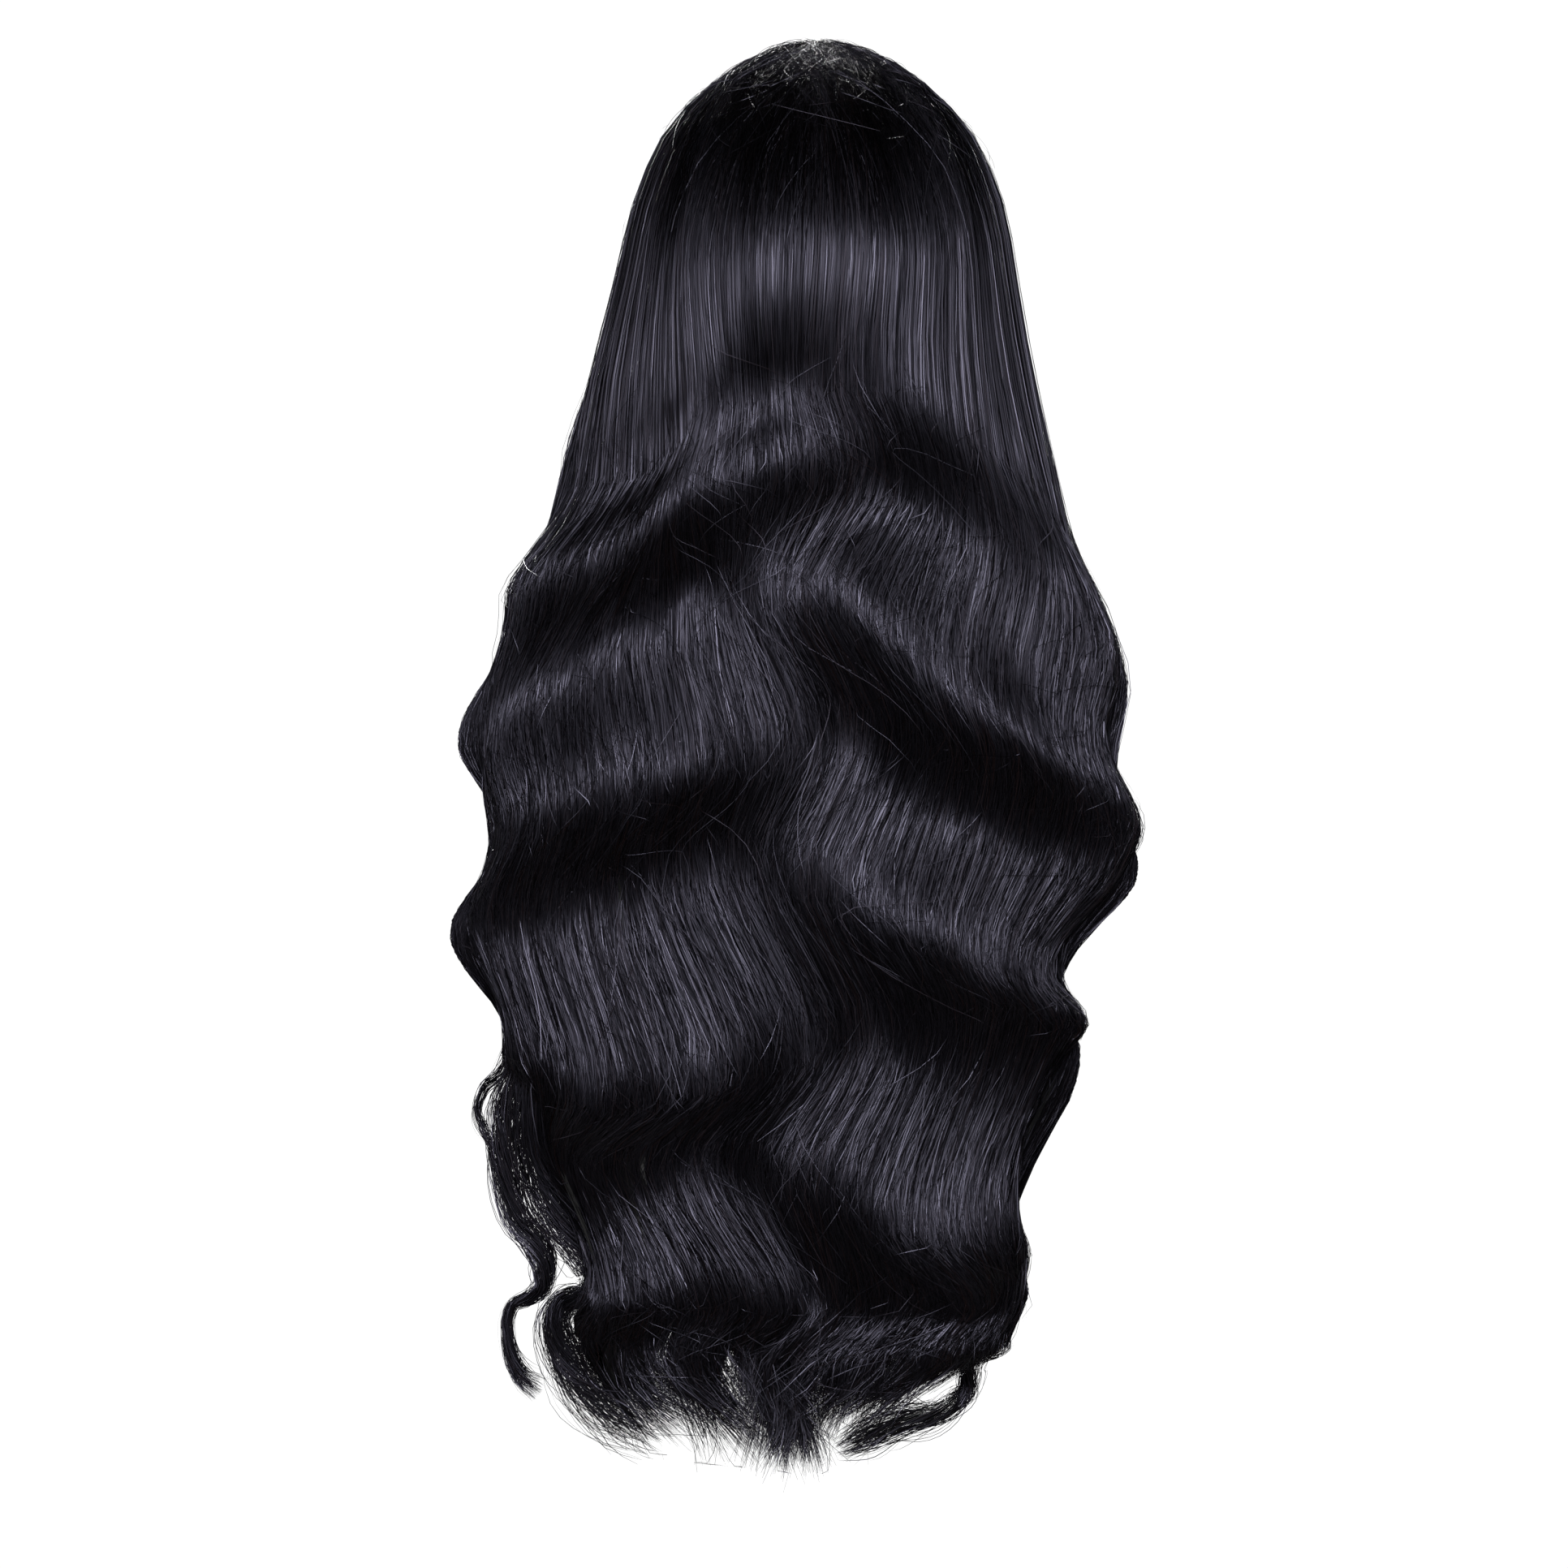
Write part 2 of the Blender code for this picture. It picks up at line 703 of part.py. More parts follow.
def mass_grid(places, rows, deep, first_shift, last_shift):
    """Rows of points from the seam to the tips, with the side columns moved across."""
    grid = []
    starts = [seam_phase(place) for place in places]
    ends = [end_phase(place) for place in places]
    for row in range(rows + 1):
        line = []
        for i, place in enumerate(places):
            phase = row_phase(starts[i], ends[i], row / rows)
            shift = first_shift if i == 0 else last_shift if i == len(places) - 1 else 0.0
            point = fall_point(place + shift, phase, deep)
            if row == 0:
                point.z = -SEAM_DROP - GAP
            line.append(point)
        grid.append(line)
    return grid


def make_mass(name, first, last):
    places = mass_columns(first, last)
    shift = MASS_GAP / 2 / HALF_SPREAD
    first_shift = 0.0 if first == 0 else shift
    last_shift = 0.0 if last == len(LOCK_EDGES) - 1 else -shift

    def fill(bm):
        outer = grid_of(bm, mass_grid(places, MASS_ROWS, 0, first_shift, last_shift))
        inner = grid_of(bm, mass_grid(places[::2], MASS_ROWS // 2, 1, first_shift, last_shift))
        skin(bm, outer)
        skin(bm, inner)
        zip_edges(bm, outer[0], inner[0])
        zip_edges(bm, outer[-1], inner[-1])
        zip_edges(bm, [row[0] for row in outer], [row[0] for row in inner])
        zip_edges(bm, [row[-1] for row in outer], [row[-1] for row in inner])

    return new_object(name, fill, (0.010, 0.009, 0.012), 0.38)


def wisp_route(wisp):
    """Points and radii along a wisp, on a smooth curve through its rows."""
    points = []
    for row in wisp:
        half = abs(half_width(row.fall, True) - half_width(row.fall, False)) / 2
        back, reach, _ = section_at(row.fall)
        x = -row.across * HALF_SPREAD
        middle = (half_width(row.fall, True) + half_width(row.fall, False)) / 2
        share = min(1.0, abs(x - middle) / half)
        y = back - reach + reach * math.sqrt(1 - share**2)
        depth = hair_thickness(row.fall, math.asin(share)) * row.deep
        points.append((Vector((x, y - depth, height_of(row.fall))), row.thickness * WISP_RADIUS))
    fine = []
    last = len(points) - 1
    for i in range(last * WISP_STEPS + 1):
        at = i / WISP_STEPS
        axes = [[(k, point[axis]) for k, (point, _) in enumerate(points)] for axis in range(3)]
        radius = read_line([(k, radius) for k, (_, radius) in enumerate(points)], at)
        fine.append((Vector([read_curve(rows, at) for rows in axes]), radius))
    return fine


def make_wisp(name, rows):
    """A thin lock as a closed tube, which join_wisp unites with its mass."""
    route = wisp_route(rows)

    def fill(bm):
        rings = []
        for i, (point, radius) in enumerate(route):
            before = route[max(i - 1, 0)][0]
            after = route[min(i + 1, len(route) - 1)][0]
            along = (after - before).normalized()
            across = along.cross(Vector((0, 1, 0))).normalized()
            out = across.cross(along)
            ring = []
            for side in range(WISP_SIDES):
                angle = 2 * math.pi * side / WISP_SIDES
                offset = across * math.cos(angle) + out * math.sin(angle)
                ring.append(bm.verts.new(point + offset * radius))
            rings.append(ring)
        skin(bm, rings, True)
        bm.faces.new(rings[0])
        bm.faces.new(rings[-1])

    wisp = new_object(name, fill, (0.010, 0.009, 0.012), 0.38)
    wisp.hide_render = True
    wisp.display_type = "WIRE"
    return wisp


def join_wisp(mass, wisp):
    union = mass.modifiers.new(wisp.name, "BOOLEAN")
    union.operation = "UNION"
    union.object = wisp


def main():
    for obj in list(bpy.data.objects):
        bpy.data.objects.remove(obj, do_unlink=True)
    make_cap()
    make_lace()
    make_band()
    make_crown()
    masses = {name: make_mass(name, first, last) for name, first, last in MASSES}
    join_wisp(masses["left_side_hair"], make_wisp("upper_wisp", UPPER_WISP))
    join_wisp(masses["left_side_hair"], make_wisp("lower_wisp", LOWER_WISP))
    join_wisp(masses["right_back_hair"], make_wisp("curl", CURL))


main()
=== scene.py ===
import math
import bpy
import numpy as np
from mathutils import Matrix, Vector
from mathutils.bvhtree import BVHTree


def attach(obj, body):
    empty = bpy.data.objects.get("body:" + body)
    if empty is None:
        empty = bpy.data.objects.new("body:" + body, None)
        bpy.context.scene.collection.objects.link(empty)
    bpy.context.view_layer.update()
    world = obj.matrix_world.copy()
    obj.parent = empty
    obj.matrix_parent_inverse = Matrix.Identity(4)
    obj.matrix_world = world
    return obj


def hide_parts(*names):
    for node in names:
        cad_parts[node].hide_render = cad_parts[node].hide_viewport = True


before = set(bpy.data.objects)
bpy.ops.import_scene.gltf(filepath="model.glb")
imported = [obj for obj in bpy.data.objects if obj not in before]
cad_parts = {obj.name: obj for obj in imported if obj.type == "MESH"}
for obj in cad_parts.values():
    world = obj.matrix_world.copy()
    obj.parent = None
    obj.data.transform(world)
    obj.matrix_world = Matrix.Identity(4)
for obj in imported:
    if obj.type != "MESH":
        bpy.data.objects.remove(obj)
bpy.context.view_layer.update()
print("frame loaded with", len(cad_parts), "nodes")

# The hair's own sizes in metres. "Across" runs from -1 at the wearer's left to 1 at the
# right, and on to 2 round each side to the front edge. "Fall" is 0 at the top, 1 at the tips.
# Waves lag by a share of a turn, first left and then right, and are calmer on the upper right.
hairForm = {
    "headWidth": 0.154,
    "headLength": 0.195,
    "crownHeight": 0.105,
    "length": 0.785,
    "halfSpread": 0.190,
    "topCover": 0.022,
    "sideCover": 0.035,
    "backCover": 0.027,
    "frontCover": 0.010,
    "capRoom": 0.005,
    "seamDrop": 0.130,
    "napeBlend": 0.090,
    "thickness": 0.046,
    "tipThickness": 0.004,
    "lockRelief": 0.0022,
    "waveDepth": 0.0130,
    "waveLag": (0.05, 0.30),
    "crossing": 0.20,
    "longWave": 0.085,
    "calmRight": 0.55,
    "notchRise": 0.8,
    "domePower": 1.75,
    "backPower": 1.5,
}

# Where each turn of the waves lies on six guide strands, in falls and in shares of the spread
waveGuides = (-1.0, -0.66, -0.22, 0.20, 0.55, 1.0)
waveFalls = (
    (0.162, 0.162, 0.162, 0.162, 0.162, 0.162),
    (0.310, 0.288, 0.255, 0.238, 0.270, 0.330),
    (0.400, 0.360, 0.325, 0.312, 0.362, 0.460),
    (0.499, 0.446, 0.394, 0.393, 0.461, 0.533),
    (0.562, 0.550, 0.519, 0.490, 0.539, 0.587),
    (0.633, 0.613, 0.573, 0.596, 0.642, 0.670),
    (0.713, 0.751, 0.722, 0.699, 0.697, 0.719),
    (0.771, 0.794, 0.788, 0.805, 0.840, 0.840),
    (0.871, 0.883, 0.891, 0.891, 0.894, 0.885),
    (0.905, 0.926, 0.928, 0.937, 0.926, 0.923),
    (0.980, 0.998, 1.003, 1.008, 0.975, 0.944),
)
waveSides = (
    (-1.00, -0.75, -0.61, 0.18, 0.73, 1.00),
    (-0.77, -0.47, -0.33, 0.07, 0.43, 0.71),
    (-0.85, -0.52, -0.36, 0.15, 0.51, 0.90),
    (-1.05, -0.73, -0.36, -0.01, 0.44, 0.86),
    (-0.91, -0.64, -0.26, 0.15, 0.51, 0.93),
    (-1.07, -0.75, -0.33, 0.00, 0.38, 0.68),
    (-0.87, -0.58, -0.12, 0.16, 0.48, 0.76),
    (-0.86, -0.74, -0.29, -0.02, 0.31, 0.55),
    (-0.63, -0.57, -0.09, 0.05, 0.46, 0.61),
    (-0.77, -0.65, -0.19, -0.08, 0.37, 0.55),
    (-0.61, -0.47, -0.17, -0.02, 0.20, 0.38),
)
lastTurn = len(waveFalls) - 1

# Levels of the hanging hair: depths as shares of the back's own depth
levels = {
    "fall": (0.16, 0.22, 0.30, 0.38, 0.46, 0.60, 0.75, 0.90, 1.00),
    "back": (1.00, 1.005, 0.978, 0.955, 0.94, 0.92, 0.88, 0.81, 0.74),
    "reach": (0.98, 0.92, 0.80, 0.67, 0.55, 0.48, 0.44, 0.38, 0.32),
    "front": (0.98, 0.90, 0.75, 0.60, 0.50, 0.45, 0.40, 0.35, 0.30),
    "middle": (0.55, 0.85, 1.00, 1.00, 1.00, 0.96, 0.85, 0.60, 0.20),
    "edge": (0.80, 0.84, 0.80, 0.60, 0.34, 0.28, 0.24, 0.20, 0.10),
    "turn": (112, 112, 110, 105, 98, 94, 92, 92, 92),
}
# Dark folds that cross the waves. Rows: fall and across of both ends, width, depth
folds = (
    ((0.240, 0.352), (-0.21, -0.72), 0.016, 0.0064),
    ((0.246, 0.314), (0.19, 0.386), 0.008, 0.0026),
    ((0.325, 0.405), (-0.10, -0.80), 0.018, 0.0050),
    ((0.452, 0.458), (-0.42, -0.36), 0.012, 0.0115),
    ((0.423, 0.519), (0.10, 0.218), 0.010, 0.0050),
    ((0.430, 0.480), (0.60, 0.76), 0.018, 0.0040),
    ((0.503, 0.566), (0.22, 0.90), 0.014, 0.0040),
    ((0.600, 0.690), (0.10, 0.26), 0.014, 0.0036),
    ((0.198, 0.208), (-0.47, -0.42), 0.011, 0.0068),
    ((0.206, 0.214), (0.14, 0.48), 0.016, 0.0040),
    ((0.690, 0.725), (0.50, 0.72), 0.012, 0.0030),
    ((0.600, 0.640), (-0.55, -0.40), 0.010, 0.0022),
    ((0.820, 0.850), (-0.20, -0.30), 0.010, 0.0024),
)
# Soft unevenness all over: how many swells, their height in metres, and waves per unit
swell = {"count": 30, "height": 0.0020, "across": (0.8, 3.4), "turns": (0.15, 0.85), "seed": 12}
lockEdges = (-1.0, -0.83, -0.66, -0.50, -0.34, -0.18, -0.02, 0.12, 0.28, 0.44, 0.62, 0.80, 1.0)
tipRise = (0.5, 0.0, 0.35, 0.1, 0.45, 0.0, 0.3, 0.0, 0.25, 0.1, 0.3, 0.0)


def smooth(low, high, value):
    share = np.clip((value - low) / (high - low), 0.0, 1.0)
    return share * share * (3.0 - 2.0 * share)


def mix(a, b, share):
    return a + (b - a) * share


def evenly(steps):
    # one row of places from 0 to 1
    return np.linspace(0.0, 1.0, steps)[None, :]


def unit(vectors):
    return vectors / np.maximum(np.linalg.norm(vectors, axis=-1, keepdims=True), 1e-9)


def evenCurve(places, values, at):
    # a curve through all the values that never swings past them
    places = np.asarray(places, float)
    values = np.asarray(values, float)
    slopes = np.diff(values, axis=-1) / np.diff(places)
    product = slopes[..., :-1] * slopes[..., 1:]
    total = np.where(product > 0, slopes[..., :-1] + slopes[..., 1:], 1.0)
    inner = np.where(product > 0, 2 * product / total, 0.0)
    tangents = np.concatenate([slopes[..., :1], inner, slopes[..., -1:]], -1)
    i = np.clip(np.searchsorted(places, at) - 1, 0, len(places) - 2)
    span = places[i + 1] - places[i]
    t = (at - places[i]) / span
    return (
        (2 * t**3 - 3 * t**2 + 1) * values[..., i]
        + (t**3 - 2 * t**2 + t) * span * tangents[..., i]
        + (3 * t**2 - 2 * t**3) * values[..., i + 1]
        + (t**3 - t**2) * span * tangents[..., i + 1]
    )


def levelAt(key, fall):
    places = np.array(levels["fall"])
    values = np.array(levels[key], float)
    i = np.clip(np.searchsorted(places, fall) - 1, 0, len(places) - 2)
    share = (fall - places[i]) / (places[i + 1] - places[i])
    return mix(values[i], values[i + 1], smooth(0.0, 1.0, share))


def lockRidge(across):
    # 0 in a valley between two locks, 1 along a lock's back
    edges = np.array(lockEdges)
    i = np.clip(np.searchsorted(edges, across) - 1, 0, len(edges) - 2)
    share = np.clip((across - edges[i]) / (edges[i + 1] - edges[i]), 0.0, 1.0)
    return np.sin(np.pi * share).clip(0.0) ** 0.7


def swells(u, v):
    # soft random hills over two directions
    rng = np.random.default_rng(swell["seed"])
    height = np.zeros(np.broadcast(u, v).shape)
    for _ in range(swell["count"]):
        wide = rng.uniform(*swell["across"]) * rng.choice([-1.0, 1.0])
        tall = rng.uniform(*swell["turns"])
        height += np.sin(2 * np.pi * (wide * u + tall * v + rng.random()))
    return swell["height"] * height / math.sqrt(swell["count"])


def foldLift(x, fall):
    # each fold steps inward on its lower side
    lift = np.zeros(x.shape)
    scale = np.array([-hairForm["halfSpread"], hairForm["length"]])
    for falls, sides, width, depth in folds:
        start, end = scale * np.array([sides, falls]).T
        length = np.linalg.norm(end - start)
        along = (end - start) / length
        down = np.array([-along[1], along[0]])
        down = down if down[1] > 0 else -down
        dx, dz = x - start[0], fall * hairForm["length"] - start[1]
        u = dx * along[0] + dz * along[1]
        past = np.maximum(-u, u - length).clip(0.0)
        v = (dx * down[0] + dz * down[1]) / width
        lift -= depth * v * np.exp(-v * v / 2 - (past / width) ** 2 / 2)
    return lift


def heightAt(fall):
    return hairForm["topCover"] - fall * hairForm["length"]


def depthAt(key, fall):
    return (hairForm["headLength"] / 2 + hairForm["backCover"]) * levelAt(key, fall)


def waveGrid(across, turns):
    # falls, x and distances from turn to turn
    inside = across.clip(-1.0, 1.0)
    unitSide = np.full(lastTurn + 1, hairForm["halfSpread"])
    unitSide[0] = hairForm["headWidth"] / 2 + hairForm["sideCover"]
    falls = evenCurve(waveGuides, waveFalls, inside)
    sides = -evenCurve(waveGuides, waveSides, inside) * unitSide[:, None]
    gaps = np.diff(falls, axis=0)
    gaps = np.concatenate([gaps[:1], (gaps[1:] + gaps[:-1]) / 2, gaps[-1:]])
    row = np.minimum(turns.astype(int), lastTurn - 1)
    share = (turns - row)[:, None]
    eased = 0.5 - 0.5 * np.cos(np.pi * share)
    tables = (falls, share), (sides, eased), (gaps, eased)
    return [mix(table[row], table[row + 1], part).T for table, part in tables]


def waveLift(across, turns, fall, x, gap):
    # how far waves, locks, swells and folds stand off the smooth form
    form = hairForm
    wrap = (np.abs(across) - 1.0).clip(0.0)[:, None]
    inside = across.clip(-1.0, 1.0)
    relief = smooth(0.16, 0.34, fall) * (1 - smooth(0.86, 1.0, fall)) * (1 - smooth(0.0, 0.3, wrap))
    # short waves are shallower than long ones
    gentle = np.clip(gap / form["longWave"], 0.3, 1.15)
    crossing = form["crossing"] * (1 - smooth(1.2, 2.4, turns))
    calm = smooth(0.15, 0.4, inside)[:, None] * (1 - smooth(1.9, 3.0, turns))
    calm = 1 - form["calmRight"] * calm
    lag = mix(*form["waveLag"], smooth(0.1, 0.5, inside))[:, None]
    swing = -np.tanh(3.0 * (inside[:, None] - crossing)) * np.cos(np.pi * (turns - lag))
    ridge = form["lockRelief"] * (lockRidge(inside) - 0.5)[:, None]
    lift = relief * (ridge + form["waveDepth"] * (swing * gentle * calm))
    uneven = smooth(0.0, 0.8, turns)[None, :] * swells(across[:, None], turns[None, :])
    creased = smooth(0.0, 0.3, turns)[None, :] * foldLift(x, fall)
    return lift + (1 - smooth(0.0, 0.4, wrap)) * (uneven + creased)


def besideCap(angle, z):
    form = hairForm
    room = form["capRoom"]
    cosine = ((z + form["crownHeight"]) / (form["crownHeight"] + room)).clip(-1.0, 1.0)
    ring = np.sqrt(1 - cosine**2)
    x = -(form["headWidth"] / 2 + room) * ring * np.sin(angle)
    y = (form["headLength"] / 2 + room) * ring * np.cos(angle)
    return np.stack([x, y, z], -1)


def hairVolume():
    # the outer and inner point of the hanging hair on a grid of across and wave turns
    form = hairForm
    across = np.linspace(-2.0, 2.0, 321)
    turns = np.linspace(0.0, lastTurn, 401)
    fall, x, gap = waveGrid(across, turns)
    left = np.interp(fall, fall[0], x[0])
    right = np.interp(fall, fall[-1], x[-1])
    middle = (left + right) / 2
    half = np.abs(left - right) / 2
    angle = np.arcsin(((middle - x) / half).clip(-1.0, 1.0))
    wrap = (np.abs(across) - 1.0).clip(0.0)[:, None]
    limit = np.radians(levelAt("turn", fall))
    angle = np.where(wrap > 0, np.sign(across)[:, None] * mix(np.pi / 2, limit, wrap), angle)
    x = np.where(wrap > 0, middle - half * np.sin(angle), x)
    reach, z = depthAt("reach", fall), heightAt(fall)
    forward = np.where(np.abs(angle) <= np.pi / 2, reach, depthAt("front", fall))
    outer = np.stack([x, depthAt("back", fall) - reach + forward * np.cos(angle), z], -1)
    normal = unit(np.stack([-np.sin(angle) * forward, np.cos(angle) * half, 0 * z], -1))
    lift = waveLift(across, turns, fall, x, gap)
    side = np.sin(np.minimum(np.abs(angle), np.pi / 2)) ** 2
    thick = form["thickness"] * mix(levelAt("middle", fall), levelAt("edge", fall), side)
    thick = np.maximum(thick, form["tipThickness"])
    drape = outer - normal * (thick - 0.6 * lift * np.cos(2 * angle).clip(0.0))[..., None]
    blend = smooth(form["seamDrop"], form["seamDrop"] + form["napeBlend"], -z)[..., None]
    inner = mix(besideCap(angle, z), drape, blend)
    outer = outer + normal * lift[..., None]
    return {"across": across, "turns": turns, "outer": outer, "inner": inner, "angle": angle}


volume = hairVolume()


def lookUp(table, across, turns):
    # the table's value between its grid lines
    i = (across - volume["across"][0]) / (volume["across"][1] - volume["across"][0])
    j = turns / volume["turns"][1]
    i = i.clip(0, table.shape[0] - 1.001)
    j = j.clip(0, table.shape[1] - 1.001)
    low, start = i.astype(int), j.astype(int)
    up, on = i - low, j - start
    if table.ndim == 3:
        up, on = up[..., None], on[..., None]
    upper = mix(table[low, start], table[low, start + 1], on)
    lower = mix(table[low + 1, start], table[low + 1, start + 1], on)
    return mix(upper, lower, up)


def hangingPoint(across, turns, deep):
    # a point of the hanging hair, and its outward direction
    outer = lookUp(volume["outer"], across, turns)
    inner = lookUp(volume["inner"], across, turns)
    return mix(outer, inner, deep[..., None]), unit(outer - inner)


def crownPoint(x, y, deep):
    # a point over the head: x and y are shares of the hair's half width and half length
    form = hairForm
    ring = np.hypot(x, y).clip(0.0, 1.0)
    length = form["headLength"] / 2 + np.where(y > 0, form["backCover"], form["frontCover"])
    width = form["headWidth"] / 2 + form["sideCover"]
    rise = form["crownHeight"] + form["topCover"]
    power = mix(form["domePower"], form["backPower"], smooth(0.2, 0.9, y / np.maximum(ring, 0.05)))
    high = (1 - ring**power).clip(0.0) ** (1 / power)
    lumps = 1 + swells(1.4 * x, 7.0 * y) * 4.0 * ring * (1 - ring**4)
    outer = np.stack([width * x * lumps, length * y * lumps, rise * high - form["crownHeight"]], -1)
    low = np.sqrt((1 - ring**2).clip(0.0))
    room = form["capRoom"]
    innerX = (form["headWidth"] / 2 + room) * x
    innerY = (form["headLength"] / 2 + room) * y
    inner = np.stack([innerX, innerY, (form["crownHeight"] + room) * low - form["crownHeight"]], -1)
    return mix(outer, inner, deep[..., None]), unit(outer - inner)


def wander(rng, count, at, waves, size):
    # smooth wandering lines, one for each of count, read at the places "at"
    line = np.zeros(at.shape)
    for wave in waves:
        height = rng.normal(0.0, 1.0, (count, 1)) / math.sqrt(wave)
        line += height * np.sin(2 * np.pi * (wave * at + rng.random((count, 1))))
    return size * line / math.sqrt(len(waves))


class Bundle:
    # collects ribbons, and makes them one mesh

    def __init__(self):
        self.strips = strandLook["strips"]
        self.points = []
        self.faces = []
        self.places = []
        self.count = 0

    def add(self, rng, points, outward, width, most):
        # points and outward hold strands x steps x 3. The ribbons are of uneven width and
        # twist, and each has a strip of the map, for its own tone
        strands, steps = points.shape[:2]
        t = evenly(steps)
        own = width * rng.uniform(0.7, 1.25, (strands, 1))
        widths = own * (0.55 + 0.45 * smooth(0.0, 0.06, t)) * (1 - 0.7 * smooth(0.94, 1.0, t))
        twist = rng.uniform(-1.0, 1.0, (strands, 1)) * most
        twist = twist + wander(rng, strands, t.repeat(strands, 0), (1, 3), 0.3)
        strip = (rng.integers(0, 4096, strands) % self.strips)[:, None]
        along = unit(np.gradient(points, axis=1))
        side = unit(np.cross(along, outward))
        face = np.cross(side, along)
        arm = side * np.cos(twist)[..., None] + face * np.sin(twist)[..., None]
        arm = arm * widths[..., None] / 2
        self.points.append(np.stack([points - arm, points + arm], 2).reshape(-1, 3))
        first = self.count + 2 * (np.arange(strands)[:, None] * steps + np.arange(steps - 1))
        corners = np.stack([first, first + 1, first + 3, first + 2], -1)
        self.faces.append(corners.reshape(-1, 4))
        v = np.linspace(0.002, 0.998, steps)[None, :].repeat(strands, 0)
        edges = [np.stack([(strip + at + 0 * v) / self.strips, v], -1) for at in (0.15, 0.85)]
        self.places.append(np.stack(edges, 2).reshape(-1, 2))
        self.count += strands * steps * 2

    def piece(self, name):
        points = np.concatenate(self.points)
        faces = np.concatenate(self.faces)
        places = np.concatenate(self.places)
        meshPiece(name, points, faces, places, strandMaterial)


def meshPiece(name, points, faces, places, material, nodes=()):
    mesh = bpy.data.meshes.new(name)
    mesh.vertices.add(len(points))
    mesh.vertices.foreach_set("co", points.astype(np.float32).ravel())
    mesh.loops.add(faces.size)
    mesh.loops.foreach_set("vertex_index", faces.astype(np.int32).ravel())
    mesh.polygons.add(len(faces))
    starts = np.arange(0, faces.size, faces.shape[1], dtype=np.int32)
    mesh.polygons.foreach_set("loop_start", starts)
    mesh.update(calc_edges=True)
    mesh.shade_smooth()
    layer = mesh.uv_layers.new(name="OFBake")
    layer.uv.foreach_set("vector", places[faces.ravel()].astype(np.float32).ravel())
    mesh.materials.append(material)
    piece = bpy.data.objects.new(name, mesh)
    bpy.context.scene.collection.objects.link(piece)
    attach(piece, "root")
    if nodes:
        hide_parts(*nodes)
    print(name, "made with", len(faces), "faces")


# Finishes
class Wire:
    # an output socket that can be used in sums

    def __init__(self, tree, socket):
        self.tree = tree
        self.socket = socket

    def sum(self, operation, first, second=0.0):
        return self.tree.add("ShaderNodeMath", {"operation": operation}, {0: first, 1: second})

    def __add__(self, other):
        return self.sum("ADD", self, other)

    def __radd__(self, other):
        return self.sum("ADD", other, self)

    def __mul__(self, other):
        return self.sum("MULTIPLY", self, other)

    def __rmul__(self, other):
        return self.sum("MULTIPLY", other, self)

    def __pow__(self, other):
        return self.sum("POWER", self, other)

    def __gt__(self, other):
        return self.sum("GREATER_THAN", self, other)

    def __lt__(self, other):
        return self.sum("LESS_THAN", self, other)

    def floor(self):
        return self.sum("FLOOR", self)

    def sine(self):
        return self.sum("SINE", self)


class Tree:
    # the nodes of a material or of the world

    def __init__(self, holder):
        holder.use_nodes = True
        self.nodes = holder.node_tree.nodes
        self.links = holder.node_tree.links

    def add(self, kind, settings=None, values=None, out=0):
        node = self.nodes.new(kind)
        for key, value in (settings or {}).items():
            if key == "stops":
                ramp = node.color_ramp
                while len(ramp.elements) < len(value):
                    ramp.elements.new(0.5)
                for element, (place, colour) in zip(ramp.elements, value):
                    element.position = place
                    element.color = (*colour, 1.0)
            else:
                setattr(node, key, value)
        for key, value in (values or {}).items():
            self.join(value, node.inputs[key])
        return Wire(self, node.outputs[out])

    def join(self, value, socket):
        if isinstance(value, Wire):
            self.links.new(value.socket, socket)
        else:
            socket.default_value = value

    def part(self, vector, axis):
        return self.add("ShaderNodeSeparateXYZ", None, {0: vector}, out="XYZ".index(axis))

    def ramp(self, value, stops):
        return self.add("ShaderNodeValToRGB", {"stops": stops}, {0: value})


class Finish(Tree):
    # one material

    def __init__(self, name, **fixed):
        self.material = bpy.data.materials.new(name)
        super().__init__(self.material)
        self.shader = self.nodes["Principled BSDF"]
        self.feed(**fixed)

    def feed(self, **values):
        for key, value in values.items():
            self.join(value, self.shader.inputs[key.replace("_", " ")])

    def strandMap(self):
        # across and along the strands' map
        both = self.add("ShaderNodeUVMap", {"uv_map": "OFBake"})
        return self.part(both, "X"), self.part(both, "Y")

    def spot(self):
        return self.add("ShaderNodeTexCoord", out="Object")

    def noise(self, vector, scale, detail):
        values = {"Vector": vector, "Scale": scale, "Detail": detail}
        return self.add("ShaderNodeTexNoise", None, values)

    def cells(self, vector, scale, feature="F1"):
        values = {"Vector": vector, "Scale": scale}
        return self.add("ShaderNodeTexVoronoi", {"feature": feature}, values)

    def blend(self, factor, first, colour):
        values = {0: factor, 6: first, 7: (*colour, 1.0)}
        return self.add("ShaderNodeMix", {"data_type": "RGBA"}, values, out=2)

    def bump(self, height, strength, distance):
        values = {"Height": height, "Strength": strength, "Distance": distance}
        return self.add("ShaderNodeBump", None, values)


strandLook = {
    "strips": 256,
    "dark": (0.0005, 0.0003, 0.0003),
    "mid": (0.0015, 0.0010, 0.0011),
    "light": (0.0042, 0.0033, 0.0044),
    "brown": (0.0100, 0.0040, 0.0026),
    "brownShare": 0.14,
    "smoothest": 0.25,
    "roughest": 0.62,
    "shine": 0.036,
    "spreadAcross": 0.75,
    "shineTint": (0.765, 0.74, 1.0),
}


